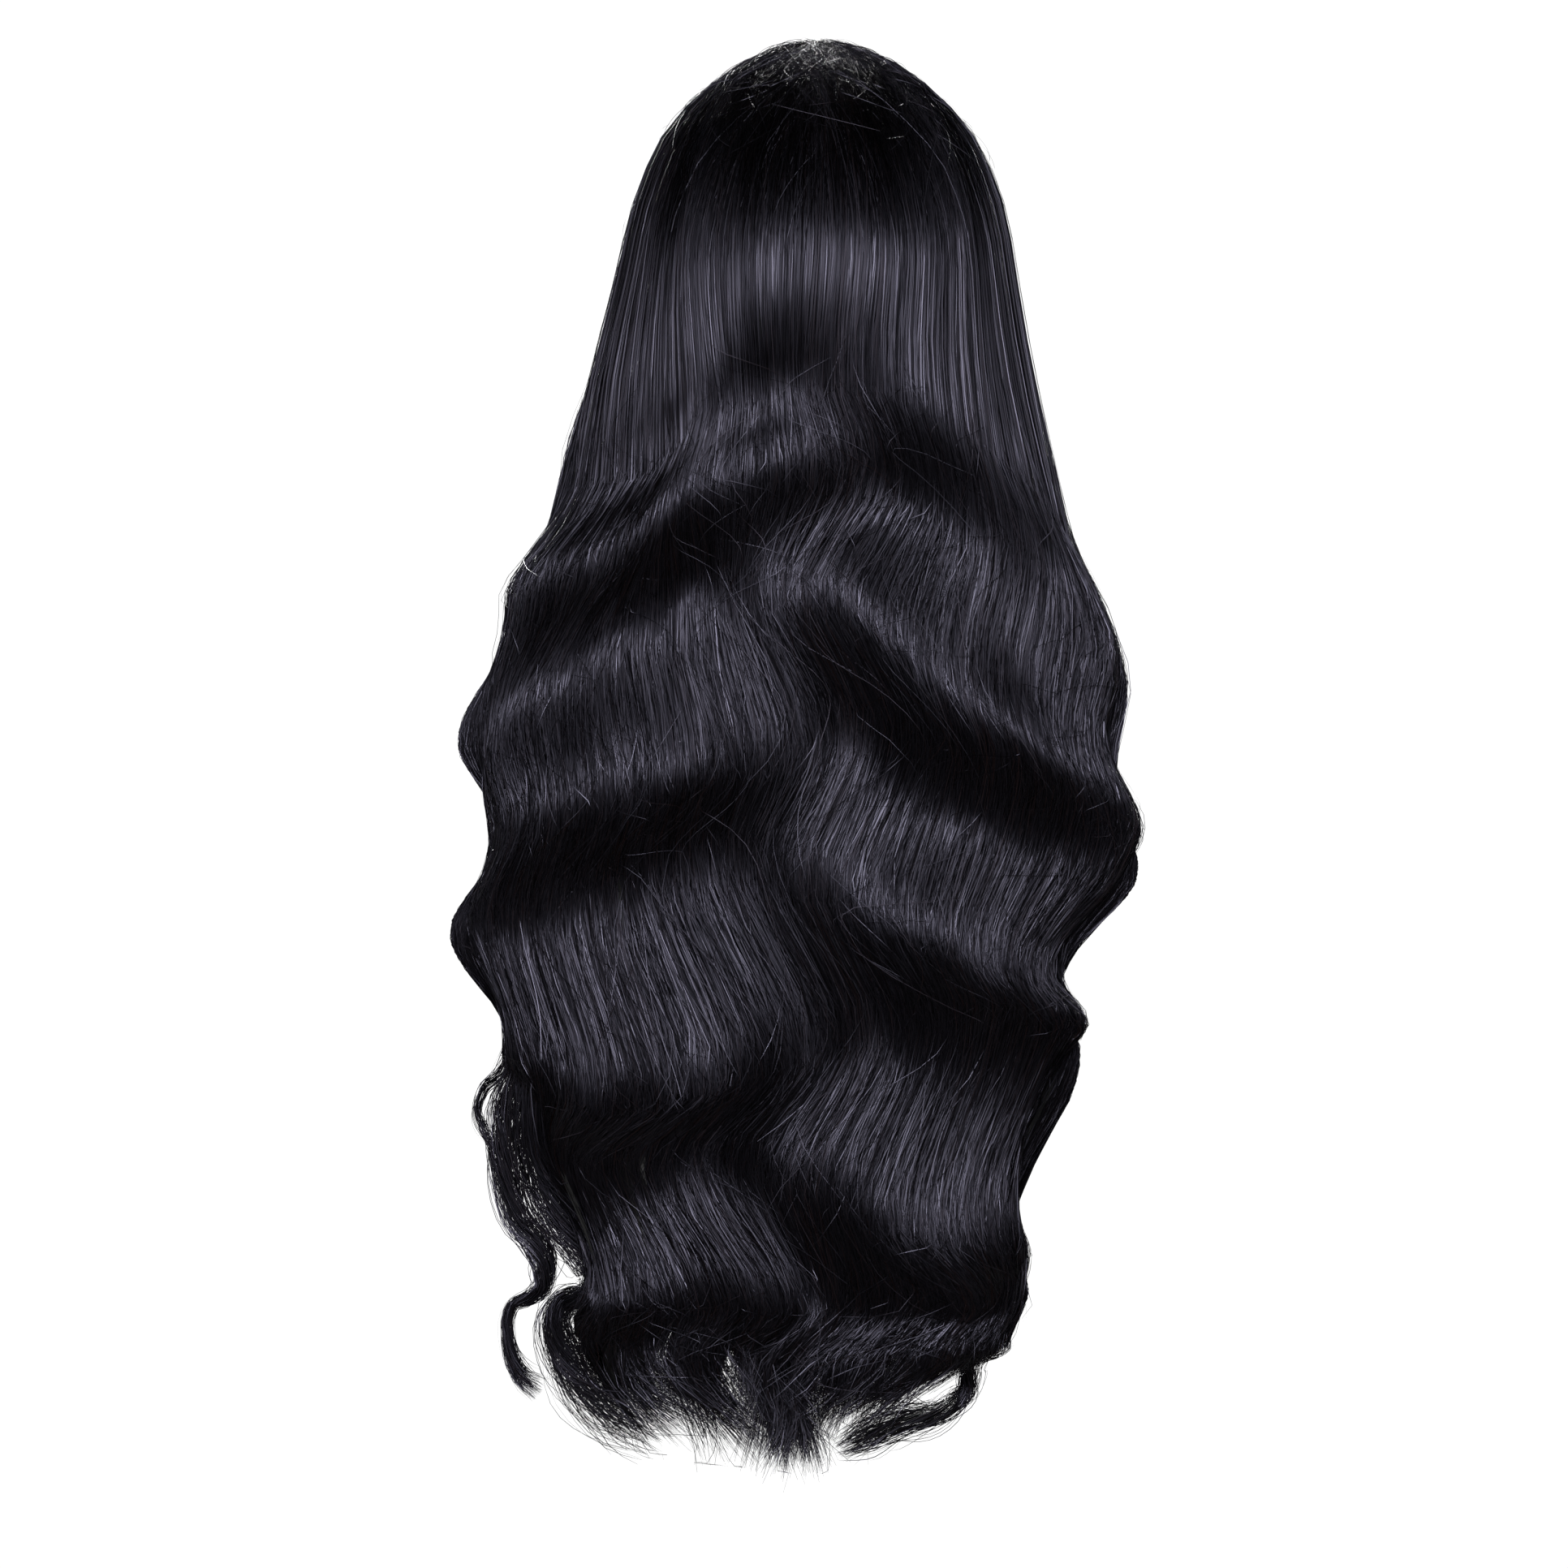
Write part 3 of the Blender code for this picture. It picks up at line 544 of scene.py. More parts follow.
def strandFinish():
    look = strandLook
    finish = Finish("strand_hair", Specular_IOR_Level=look["shine"])
    finish.feed(Specular_Tint=(*look["shineTint"], 1.0), Anisotropic=look["spreadAcross"])
    across, along = finish.strandMap()
    strand = (across * look["strips"]).floor()
    flat = {"noise_dimensions": "1D"}
    own = finish.add("ShaderNodeTexWhiteNoise", flat, {"W": strand})
    tone = finish.ramp(own, [(0.0, look["dark"]), (0.45, look["mid"]), (1.0, look["light"])])
    second = finish.add("ShaderNodeTexWhiteNoise", flat, {"W": strand + 511.0})
    warm = finish.blend((second > 1 - look["brownShare"]) * 0.7, tone, look["brown"])
    spot = finish.add("ShaderNodeCombineXYZ", None, {0: strand * 3.7, 1: along * 9.0})
    patch = finish.noise(spot, 1.0, 2.0)
    finish.feed(Base_Color=finish.blend(patch * 0.5, warm, look["dark"]))
    rougher = look["roughest"] - look["smoothest"]
    finish.feed(Roughness=look["smoothest"] + rougher * second**0.7)
    return finish.material


bedLook = {
    "dark": (0.0006, 0.0005, 0.0006),
    "light": (0.0024, 0.0021, 0.0026),
    "roughness": 0.55,
    "shine": 0.015,
    "streaks": 420.0,
    "relief": 0.0012,
}


def bedFinish():
    look = bedLook
    finish = Finish("under_hair", Roughness=look["roughness"], Specular_IOR_Level=look["shine"])
    across, along = finish.strandMap()
    spot = finish.add("ShaderNodeCombineXYZ", None, {0: across * look["streaks"], 1: along * 6.0})
    streak = finish.noise(spot, 1.0, 3.0)
    finish.feed(Base_Color=finish.ramp(streak, [(0.35, look["dark"]), (0.7, look["light"])]))
    finish.feed(Normal=finish.bump(streak, 0.8, look["relief"]))
    return finish.material


capLook = {
    "thread": (0.050, 0.036, 0.030),
    "hole": (0.010, 0.008, 0.008),
    "track": (0.005, 0.0045, 0.005),
    "cell": 1 / 0.0016,
    "trackGap": 0.014,
}


def capFinish():
    look = capLook
    finish = Finish("knitted_cap", Roughness=0.88, Specular_IOR_Level=0.25, Sheen_Weight=0.15)
    spot = finish.spot()
    cell = finish.cells(spot, look["cell"], "DISTANCE_TO_EDGE")
    net = finish.ramp(cell, [(0.05, look["thread"]), (0.22, look["hole"])])
    track = (finish.part(spot, "Z") * (2 * math.pi / look["trackGap"])).sine() > 0.55
    finish.feed(Base_Color=finish.blend(track * 0.9, net, look["track"]))
    relief = finish.ramp(cell, [(0.04, (1, 1, 1)), (0.2, (0, 0, 0))])
    finish.feed(Normal=finish.bump(relief, 0.7, 0.0004))
    return finish.material


laceLook = {
    "thread": (0.46, 0.30, 0.21),
    "shadow": (0.24, 0.145, 0.10),
    "knot": (0.006, 0.005, 0.006),
    "cell": 1 / 0.0013,
    "knotCell": 1 / 0.0026,
}


def laceFinish():
    look = laceLook
    finish = Finish("net_lace", Roughness=0.78, Specular_IOR_Level=0.3)
    spot = finish.spot()
    cell = finish.cells(spot, look["cell"], "DISTANCE_TO_EDGE")
    knots = finish.cells(spot, look["knotCell"])
    net = finish.ramp(cell, [(0.06, look["thread"]), (0.25, look["shadow"])])
    finish.feed(Base_Color=finish.blend(knots < 0.22, net, look["knot"]))
    hole = finish.ramp(cell, [(0.10, (1, 1, 1)), (0.28, (0.45, 0.45, 0.45))])
    finish.feed(Alpha=hole)
    finish.feed(Normal=finish.bump(hole, 0.6, 0.0003))
    return finish.material


bandLook = {
    "cord": (0.024, 0.022, 0.025),
    # painted shade: a darker colour for the grooves between the ribs
    "grooveShade": (0.006, 0.006, 0.0066),
    "ribs": 1 / 0.0024,
}


def bandFinish():
    look = bandLook
    finish = Finish("ribbed_elastic", Roughness=0.7, Specular_IOR_Level=0.3)
    spot = finish.spot()
    ribs = 2 * math.pi * look["ribs"]
    rib = (finish.part(spot, "Z") * ribs).sine() * 0.5 + 0.5
    stitch = (finish.part(spot, "X") * (ribs * 1.7)).sine() * 0.5 + 0.5
    weave = rib * 0.7 + stitch * 0.3
    # painted shade: the cord colour darkens where the ribs and stitches dip, in the grooves between
    # them
    finish.feed(Base_Color=finish.ramp(weave, [(0.1, look["grooveShade"]), (0.8, look["cord"])]))
    finish.feed(Normal=finish.bump(weave, 0.6, 0.0005))
    return finish.material


strandMaterial = strandFinish()
bedMaterial = bedFinish()
print("finishes made")


# The dark hair below the strands, in one closed sheet for each mass. It is this deep in the
# middle, at the edges and inside, and stops this many turns short of the tips
bedShape = {
    "deepOut": 0.24,
    "deepEdge": 0.60,
    "deepIn": 0.88,
    "edge": 0.965,
    "wrapEnd": 1.7,
    "stopShort": 0.50,
    "columns": 26,
    "rows": 64,
}
masses = {
    "left_side": (-2.0, -0.50),
    "left_back": (-0.50, 0.12),
    "right_back": (0.12, 0.62),
    "right_side": (0.62, 2.0),
}


def shellPiece(name, outer, inner, nodes):
    rows, columns = outer.shape[:2]
    points = np.concatenate([outer.reshape(-1, 3), inner.reshape(-1, 3)])
    index = np.arange(rows * columns).reshape(rows, columns)
    corners = [index[:-1, :-1], index[:-1, 1:], index[1:, 1:], index[1:, :-1]]
    skin = np.stack(corners, -1).reshape(-1, 4)
    back = skin[:, ::-1] + rows * columns
    rims = []
    for line in (index[0], index[-1][::-1], index[::-1, 0], index[:, -1]):
        below = line + rows * columns
        rims.append(np.stack([line[1:], line[:-1], below[:-1], below[1:]], -1))
    faces = np.concatenate([skin, back, *rims])
    u, v = np.meshgrid(np.linspace(0.01, 0.99, columns), np.linspace(0.01, 0.99, rows))
    one = np.stack([u * 0.5, v], -1).reshape(-1, 2)
    places = np.concatenate([one, one + np.array([0.5, 0.0])])
    meshPiece(name, points, faces, places, bedMaterial, nodes)


def endTurn(across):
    # where the hair ends: at its lock's tip, or higher between two locks
    edges = np.array(lockEdges)
    inside = across.clip(-1.0, 1.0)
    lock = np.clip(np.searchsorted(edges, inside) - 1, 0, len(tipRise) - 1)
    notch = hairForm["notchRise"] * (1 - lockRidge(inside)) ** 2
    return lastTurn - np.array(tipRise)[lock] - notch


def makeBeds():
    shape = bedShape
    for name, (low, high) in masses.items():
        ends = max(low, -shape["wrapEnd"]), min(high, shape["wrapEnd"])
        across = np.linspace(*ends, shape["columns"])
        squeezed = np.where(np.abs(across) <= 1.0, across * shape["edge"], across)
        grid = np.linspace(0.0, 1.0, shape["rows"])[:, None]
        turns = grid * (endTurn(across)[None, :] - shape["stopShort"])
        place = squeezed[None, :] + 0 * turns
        sunk = mix(shape["deepOut"], shape["deepEdge"], smooth(0.75, 1.0, np.abs(place)))
        outer = hangingPoint(place, turns, sunk)[0]
        inner = hangingPoint(place, turns, np.full(turns.shape, shape["deepIn"]))[0]
        shellPiece(name + "_bed", outer, inner, (name + "_hair",))


def readCrown():
    # the solid's own points, faces and outward directions over the head
    solid = bpy.data.objects["crown_hair"]
    place, vertices = solid.matrix_world, solid.data.vertices
    points = np.array([place @ vertex.co for vertex in vertices])
    faces = [list(face.vertices) for face in solid.data.polygons]
    normals = np.array([place.to_3x3() @ vertex.normal for vertex in vertices])
    return points, faces, unit(normals)


crownPoints, crownFaces, crownNormals = readCrown()
crownTree = BVHTree.FromPolygons([Vector(point) for point in crownPoints], crownFaces)
headCentre = np.array([0.0, 0.0, -hairForm["crownHeight"]])


def crownSkin(turn, drop):
    # the outer surface over the head, and its outward direction, at turns from the back and
    # drops from the top
    shape = turn.shape
    turn, drop = turn.ravel(), drop.ravel()
    ways = np.stack([-np.sin(drop) * np.sin(turn), np.sin(drop) * np.cos(turn), np.cos(drop)], -1)
    points = np.zeros_like(ways)
    for i, way in enumerate(ways):
        hit = crownTree.ray_cast(Vector(headCentre + way * 0.4), Vector(-way), 0.4)[0]
        if hit is None:
            hit = crownTree.find_nearest(Vector(headCentre + way * 0.11))[0]
        points[i] = hit
    return points.reshape(*shape, 3), ways.reshape(*shape, 3)


def findHairline():
    # the lowest drop at which the hair over the head still shows, for turns round to the face
    centre = Vector(headCentre)
    turns = np.radians(np.linspace(100, 180, 21))
    drops = np.radians(np.arange(25, 92, 0.5))
    lowest = []
    for turn in turns:
        seen = []
        for drop in drops:
            flat = math.sin(drop)
            way = Vector((-flat * math.sin(turn), flat * math.cos(turn), math.cos(drop)))
            hit = crownTree.ray_cast(centre + way * 0.4, -way, 0.4)[0]
            seen.append(hit is not None and (hit - centre).dot(way) > 0)
        lowest.append(drops[np.nonzero(seen)[0].max()])
    return turns, np.array(lowest)


hairlineTurns, hairlineDrops = findHairline()
earDrop, faceDrop = np.degrees(hairlineDrops[[0, -1]]).round()
print("hairline found,", earDrop, "to", faceDrop, "degrees below the top")


def makeCrownBed():
    form = hairForm
    ways = unit(crownPoints - headCentre)
    halves = np.array([form["headWidth"] / 2, form["headLength"] / 2, form["crownHeight"]])
    head = 1 / np.linalg.norm(ways / halves, axis=-1)
    cover = np.linalg.norm(crownPoints - headCentre, axis=-1) - head - form["capRoom"]
    inward = -np.maximum(0.62 * cover, 0.0022)[:, None]
    facing = np.einsum("ij,ij->i", crownNormals, ways) > 0.2
    points = crownPoints + ways * inward * facing[:, None]
    turn = np.arctan2(crownPoints[:, 0], crownPoints[:, 1]) / (2 * np.pi) + 0.5
    rise = (crownPoints[:, 2] - crownPoints[:, 2].min()) / np.ptp(crownPoints[:, 2])
    places = np.stack([turn * 0.98 + 0.01, rise * 0.98 + 0.01], -1)
    triangles = []
    for face in crownFaces:
        triangles += [(face[0], face[i], face[i + 1]) for i in range(1, len(face) - 1)]
    meshPiece("crown_bed", points, np.array(triangles), places, bedMaterial, ("crown_hair",))


makeBeds()
makeCrownBed()


# The strands. "Fore" holds the degrees from the back at which they start to run round the
# hairline, at which they all do, and at which their roots are at the front of the parting
strandShape = {
    "crownSteps": 10,
    "fallSteps": 32,
    "perMass": {"left_side": 2300, "left_back": 2350, "right_back": 2300, "right_side": 2300},
    "clumpStrands": 26,
    "clumpSpread": 0.024,
    "clumpLift": 0.12,
    "clumpKnots": 60,
    "wrapShare": 0.30,
    "wrapSpan": (1.02, 1.95),
    "deepSpread": 0.09,
    "wanderAcross": 0.024,
    "frizzAcross": 0.0110,
    "fuzzAcross": 0.013,
    "wildShare": 0.16,
    "wildness": 2.6,
    "frizzDeep": 0.05,
    "late": 0.08,
    "unevenEnds": (0.09, 0.15),
    "unevenSides": 0.9,
    "shorterShare": 0.10,
    "shorterBy": (0.3, 3.0),
    "tipLength": 0.12,
    "tipFlick": 0.008,
    "ownFlick": 0.0035,
    "tipCurl": (0.3, 1.4),
    "tipReach": 0.050,
    "tipGather": 0.6,
    "fore": (62, 80, 111),
    "foreLift": 0.003,
    "foreSink": 0.012,
    "width": 0.00039,
    "twist": (0.75, 1.3),
}


def crownRoots(rng, angle):
    # where strands that pass the ears at these angles start, over the crown and the parting
    count = len(angle)
    low, _, high = strandShape["fore"]
    turn = np.degrees(np.abs(angle))
    side = -np.sign(angle)
    backX = -np.sin(angle) * 0.20 + rng.normal(0, 0.16, count)
    backY = np.cos(angle) * 0.12 + rng.normal(0, 0.18, count) - 0.12
    along = smooth(low, high, turn + rng.normal(0, 5, count))
    partX = side * (0.012 + 0.03 * rng.random(count))
    partY = mix(0.05, -0.80, along)
    front = smooth(55, 80, turn)
    return mix(backX, partX, front), mix(backY, partY, front)


def clumpDrift(clumpOf, clumps, at):
    # how each strand's clump wanders, read at the places "at"
    gaps = strandShape["clumpKnots"] - 1
    knots = np.linspace(0, 1, gaps + 1)[None, :].repeat(clumps, 0)
    drift = wander(np.random.default_rng(5), clumps, knots, (1, 2, 3.4), 1.0)
    row = clumpOf[:, None]
    column = (at * gaps).astype(int).clip(0, gaps - 1)
    return mix(drift[row, column], drift[row, column + 1], at * gaps - column)


def hangStrands(rng, across, deep, clumpOf, clumps, end):
    # points, outward directions and first depths of strands below the crown
    shape = strandShape
    count = len(across)
    share = evenly(shape["fallSteps"])
    turns = share * end[:, None]
    at = turns / lastTurn
    free = smooth(0.2, 2.0, turns)
    drift = free * shape["wanderAcross"] * clumpDrift(clumpOf, clumps, at)
    wild = 1 + (shape["wildness"] - 1) * (rng.random((count, 1)) < shape["wildShare"])
    place = across[:, None] + drift
    place = place + free * wild * wander(rng, count, at, (1, 3, 7), shape["frizzAcross"])
    place = place + free * wander(rng, count, at, (10, 13), shape["fuzzAcross"])
    # the ends draw together in locks
    tip = smooth(1 - 2 * shape["tipLength"], 1.0, share)
    members = [across[clumpOf == clump] for clump in range(clumps)]
    middle = np.array([each.mean() if len(each) else 0.0 for each in members])
    place = mix(place, middle[clumpOf][:, None] + drift, shape["tipGather"] * tip)
    late = wander(rng, count, at, (1, 3, 6), shape["late"]) * free
    depth = deep[:, None] + wander(rng, count, at, (2, 5, 9), shape["frizzDeep"]) * free
    depth = depth.clip(-0.12, 1.1)
    points, outward = hangingPoint(place, (turns + late).clip(0), depth)
    # they flick sideways and turn up in clumps
    tip = smooth(1 - shape["tipLength"], 1.0, share)[..., None]
    flick = rng.normal(0, shape["tipFlick"], (clumps, 3)) * np.array([1.0, 0.5, 0.2])
    flick[:, 2] = np.abs(flick[:, 2])
    flick = flick[clumpOf] + rng.normal(0, shape["ownFlick"], (count, 3))
    points = points + flick[:, None, :] * tip**2
    # and they curl round, mostly towards the middle
    curl = rng.uniform(*shape["tipCurl"], clumps)[clumpOf] * rng.uniform(0.85, 1.15, count)
    inward = np.tanh(5.0 * (across + rng.normal(0, 0.16, clumps)[clumpOf]))
    ahead = ((share - 1 + shape["tipLength"]) / shape["tipLength"]).clip(0.0, 1.0)
    bend = curl[:, None] * ahead
    points[..., 0] += inward[:, None] * shape["tipReach"] * (1 - np.cos(bend)) / curl[:, None]
    points[..., 2] += shape["tipReach"] * (ahead - np.sin(bend) / curl[:, None])
    return points, outward, depth[:, 0]


def turnAndDrop(x, y, widest, angle):
    # the turn from the back, on the angle's side, and the drop from the top
    turn = np.arctan2(-x, y)
    turn = np.where(turn * angle < 0, turn + 2 * np.pi * np.sign(angle), turn)
    return turn, np.arcsin(np.hypot(x, y).clip(0, widest))


def roundHairline(rng, angle, root, way, s):
    # the front's strands, from the parting round the hairline and along the head
    low, _, high = strandShape["fore"]
    count = len(angle)
    along = smooth(low, high, np.degrees(np.abs(angle)) + rng.normal(0, 4, count))[:, None]
    angle = angle[:, None]
    rootTurn, rootDrop = turnAndDrop(*root, 0.99, angle)
    straightTurn, straightDrop = turnAndDrop(*way, 1.0, angle)
    turn = mix(straightTurn, mix(rootTurn, angle, s**0.9), smooth(0.3, 0.9, along))
    drop = mix(straightDrop, mix(rootDrop, np.pi / 2, s**1.15), smooth(0.3, 0.9, along))
    lowest = np.interp(np.abs(turn), hairlineTurns, hairlineDrops) - 0.015
    return crownSkin(turn, np.minimum(drop, lowest))


def overHead(rng, across, deep, depth, joint):
    # points and outward directions from the roots down to the joint with the hanging hair
    shape = strandShape
    count = len(across)
    angle = lookUp(volume["angle"], across, np.zeros(count))
    rootX, rootY = (root[:, None] for root in crownRoots(rng, angle))
    endX, endY = -np.sin(angle), np.cos(angle)
    s = np.linspace(0.0, 1.0, shape["crownSteps"])[None, :-1]
    v = np.sin(s * math.pi / 2)
    bend = wander(rng, count, s.repeat(count, 0), (1, 2), 0.008) * (1 - s)
    x = mix(rootX, endX[:, None], v) + bend
    y = mix(rootY, endY[:, None], v) + bend
    sunk = mix(deep[:, None] * 0.9 - 0.12, depth[:, None], s)
    points, outward = crownPoint(x, y, sunk)
    last = crownPoint(endX, endY, depth)[0]
    low, full, _ = shape["fore"]
    degrees = np.degrees(np.abs(angle))
    fore = np.nonzero(degrees > low)[0]
    if len(fore):
        root, way = (rootX[fore], rootY[fore]), (x[fore], y[fore])
        skin, out = roundHairline(rng, angle[fore], root, way, s)
        lift = shape["foreLift"] - shape["foreSink"] * deep[fore].clip(0, 0.4)
        skin = skin + out * lift[:, None, None]
        share = smooth(low, full, degrees[fore])[:, None, None]
        end, _ = crownSkin(angle[fore], np.full(len(fore), np.pi / 2))
        points[fore] = mix(points[fore], skin, share)
        last[fore] = mix(last[fore], end, share[:, 0])
        outward[fore] = unit(mix(outward[fore], out, share))
    # in front, some strands leave the head early and some late, so that no gap opens
    leave = np.where(degrees > low, rng.uniform(0.30, 0.86, count), 0.3)[:, None]
    points = points + (joint - last)[:, None, :] * smooth(leave, 1.0, s)[..., None]
    return points, outward


def strandLines(rng, across, deep, clumpOf, clumps, end):
    # points and outward directions of whole strands
    hang, outHang, depth = hangStrands(rng, across, deep, clumpOf, clumps, end)
    top, outTop = overHead(rng, across, deep, depth, hang[:, 0])
    points = np.concatenate([top, hang], 1)
    # the corner between the two stretches is eased
    near = strandShape["crownSteps"]
    for _ in range(3):
        for i in range(near - 4, near + 3):
            points[:, i] = (points[:, i - 1] + 2 * points[:, i] + points[:, i + 1]) / 4
    return points, np.concatenate([outTop, outHang], 1)


def makeStrands():
    shape = strandShape
    for order, (name, (low, high)) in enumerate(masses.items()):
        rng = np.random.default_rng(100 + order)
        count = shape["perMass"][name]
        clumps = round(count / shape["clumpStrands"])
        # wrapped places are closer together, so fewer clumps lie there
        wrapClumps = round(clumps * (shape["wrapShare"] if name.endswith("side") else 0.0))
        spots = np.linspace(max(low, -1.0), min(high, 1.0), clumps - wrapClumps + 2)[1:-1]
        if wrapClumps:
            wrapped = np.linspace(*shape["wrapSpan"], wrapClumps)
            spots = np.concatenate([spots, -wrapped if low < -1 else wrapped])
        spots = spots + rng.normal(0, 0.006, len(spots))
        clumpOf = rng.integers(0, len(spots), count)
        across = spots[clumpOf] + rng.normal(0, shape["clumpSpread"], count)
        lift = rng.uniform(0.0, shape["clumpLift"], len(spots))
        deep = lift[clumpOf] + np.abs(rng.normal(0, shape["deepSpread"], count))
        deep = deep.clip(0.0, 0.5)
        # the ends are uneven, mostly at the sides, and some strands are shorter
        less, more = shape["unevenEnds"]
        end = endTurn(across) - rng.exponential(less, count) + rng.uniform(0, more, count)
        atSide = smooth(0.5, 1.0, np.abs(across))
        end = end - shape["unevenSides"] * rng.random(count) * atSide
        shorter = rng.random(count) < shape["shorterShare"]
        end = np.where(shorter, end - rng.uniform(*shape["shorterBy"], count), end)
        end = end.clip(1.5, lastTurn)
        points, outward = strandLines(rng, across, deep, clumpOf, len(spots), end)
        most = mix(*shape["twist"], smooth(0.6, 1.0, np.abs(across)))[:, None]
        bundle = Bundle()
        bundle.add(rng, points, outward, shape["width"], most)
        bundle.piece(name + "_strands")


makeStrands()


# The inner side of the hanging hair
innerShape = {"strands": 1200, "edgeStrands": 550, "steps": 18, "width": 0.0011}


def makeInner():
    shape = innerShape
    rng = np.random.default_rng(31)
    count = shape["strands"] + shape["edgeStrands"]
    onEdge = np.arange(count) >= shape["strands"]
    across = rng.uniform(-1.95, 1.95, count)
    across = np.where(onEdge, np.sign(across) * rng.uniform(1.45, 2.0, count), across)
    share = evenly(shape["steps"])
    start = rng.uniform(0.0, 0.2, count)[:, None]
    end = (endTurn(across) - rng.exponential(0.3, count) - 0.1)[:, None]
    turns = start + share * (end - start)
    place = across[:, None] + wander(rng, count, turns / lastTurn, (2, 4, 9), 0.02)
    deep = np.where(onEdge, rng.uniform(0.0, 1.0, count), rng.uniform(0.86, 1.0, count))
    points, outward = hangingPoint(place, turns, deep[:, None] + 0 * share)
    bundle = Bundle()
    bundle.add(rng, points, -outward, shape["width"], 1.0)
    bundle.piece("inner_strands")


makeInner()

# Free wisps and the curl. Rows: fall, across, deep, thickness
wispShape = {"radius": 0.0085, "steps": 34, "width": 0.00036, "twist": 1.3}
wispStrands = {"upper_wisp": 60, "lower_wisp": 270, "middle_wisp": 380, "curl": 250}
wisps = {
    "upper_wisp": (
        (0.670, -0.84, 0.5, 0.4), (0.711, -0.885, 0.5, 0.4),
        (0.731, -0.92, 0.5, 0.4), (0.742, -0.97, 0.5, 0.35),
        (0.757, -0.99, 0.5, 0.3), (0.768, -0.98, 0.5, 0.35),
        (0.782, -0.95, 0.5, 0.4), (0.805, -0.92, 0.5, 0.5),
        (0.840, -0.86, 0.5, 0.4),
    ),
    "lower_wisp": (
        (0.690, -0.78, 0.5, 1.1), (0.734, -0.86, 0.5, 1.2),
        (0.757, -0.905, 0.5, 1.1), (0.783, -0.91, 0.5, 1.05),
        (0.806, -0.90, 0.5, 1.0), (0.832, -0.87, 0.5, 0.95),
        (0.849, -0.82, 0.5, 0.9), (0.866, -0.795, 0.5, 0.85),
        (0.880, -0.80, 0.5, 0.6), (0.889, -0.84, 0.5, 0.4),
        (0.893, -0.885, 0.5, 0.3), (0.906, -0.905, 0.5, 0.3),
        (0.926, -0.895, 0.5, 0.4), (0.944, -0.865, 0.5, 0.6),
        (0.956, -0.805, 0.5, 0.8),
    ),
    "middle_wisp": (
        (0.690, -0.70, 0.6, 1.3), (0.735, -0.80, 0.6, 1.4),
        (0.777, -0.82, 0.6, 1.4), (0.806, -0.80, 0.6, 1.4),
        (0.834, -0.75, 0.6, 1.2), (0.857, -0.68, 0.6, 1.0),
        (0.874, -0.645, 0.6, 0.9), (0.887, -0.67, 0.6, 0.8),
        (0.892, -0.735, 0.6, 0.7), (0.906, -0.765, 0.6, 0.8),
        (0.929, -0.735, 0.6, 1.2), (0.949, -0.68, 0.6, 1.7),
        (0.969, -0.58, 0.6, 2.0), (0.984, -0.45, 0.6, 1.6),
    ),
    "curl": (
        (0.860, 0.56, 0.5, 0.9), (0.891, 0.53, 0.8, 0.9),
        (0.917, 0.475, 1.1, 0.8), (0.937, 0.437, 1.4, 0.65),
        (0.952, 0.436, 1.6, 0.6), (0.963, 0.400, 1.6, 0.65),
        (0.970, 0.325, 1.4, 0.8), (0.974, 0.230, 1.1, 1.0),
        (0.982, 0.135, 0.9, 1.0), (0.992, 0.052, 0.7, 0.8),
    ),
}


def edgeAt(fall, side):
    # x of the outline at a level
    column = np.abs(volume["across"] - 1.5 * side).argmin()
    x, _, z = volume["outer"][column].T
    return np.interp(-heightAt(fall), -z, x)


def wispPath(rows):
    points = []
    for fall, across, deep, _ in rows:
        left, right = edgeAt(fall, -1), edgeAt(fall, 1)
        x = -across * hairForm["halfSpread"]
        share = min(1.0, abs(x - (left + right) / 2) / abs((left - right) / 2))
        reach = depthAt("reach", fall)
        thick = mix(levelAt("middle", fall), levelAt("edge", fall), share**2)
        thick = thick * hairForm["thickness"]
        y = depthAt("back", fall) - reach + reach * math.sqrt(1 - share**2) - thick * deep
        points.append((x, y, heightAt(fall)))
    return np.array(points)


def makeWisps():
    shape = wispShape
    bundle = Bundle()
    for order, (name, rows) in enumerate(wisps.items()):
        rng = np.random.default_rng(60 + order)
        count = wispStrands[name]
        path = wispPath(rows)
        knots = np.arange(len(rows))
        last = (len(rows) - 1) * (1 - rng.exponential(0.05, count)).clip(0.5, 1.0)
        at = evenly(shape["steps"]) * last[:, None]
        lines = [evenCurve(knots, line, at.ravel()).reshape(at.shape) for line in path.T]
        points = np.stack(lines, -1)
        thick = np.interp(at, knots, [row[3] for row in rows])
        turn = rng.uniform(0, 2 * np.pi, (count, 1)) + 0.5 * at
        far = np.sqrt(rng.random((count, 1))) * shape["radius"] * thick
        far = far * (1 + wander(rng, count, at / len(rows), (1, 2, 3), 0.7))
        along = unit(np.gradient(points, axis=1))
        side = unit(np.cross(along, np.array([0.0, 1.0, 0.0])))
        face = np.cross(side, along)
        away = side * np.cos(turn)[..., None] + face * np.sin(turn)[..., None]
        points = points + away * far[..., None]
        bundle.add(rng, points, face, shape["width"], shape["twist"])
    bundle.piece("wisps_and_curl")


makeWisps()

# Single hairs that stand off the hair: on the body, over the crown and along the hairline
looseShape = {
    "bodyHairs": 1450,
    "bodySteps": 18,
    "onSurface": 0.82,
    "sideFrom": 0.93,
    "length": (0.8, 3.0),
    "wander": 0.085,
    "off": (0.05, 0.20),
    "crownHairs": 380,
    "crownSteps": 14,
    "crownReach": (0.06, 0.22),
    "crownOff": (0.04, 0.22),
    "hairlineHairs": 480,
    "hairlineSteps": 10,
    "hairlineFrom": 112,
    "hairlineReach": (6, 22),
    "width": 0.00028,
}


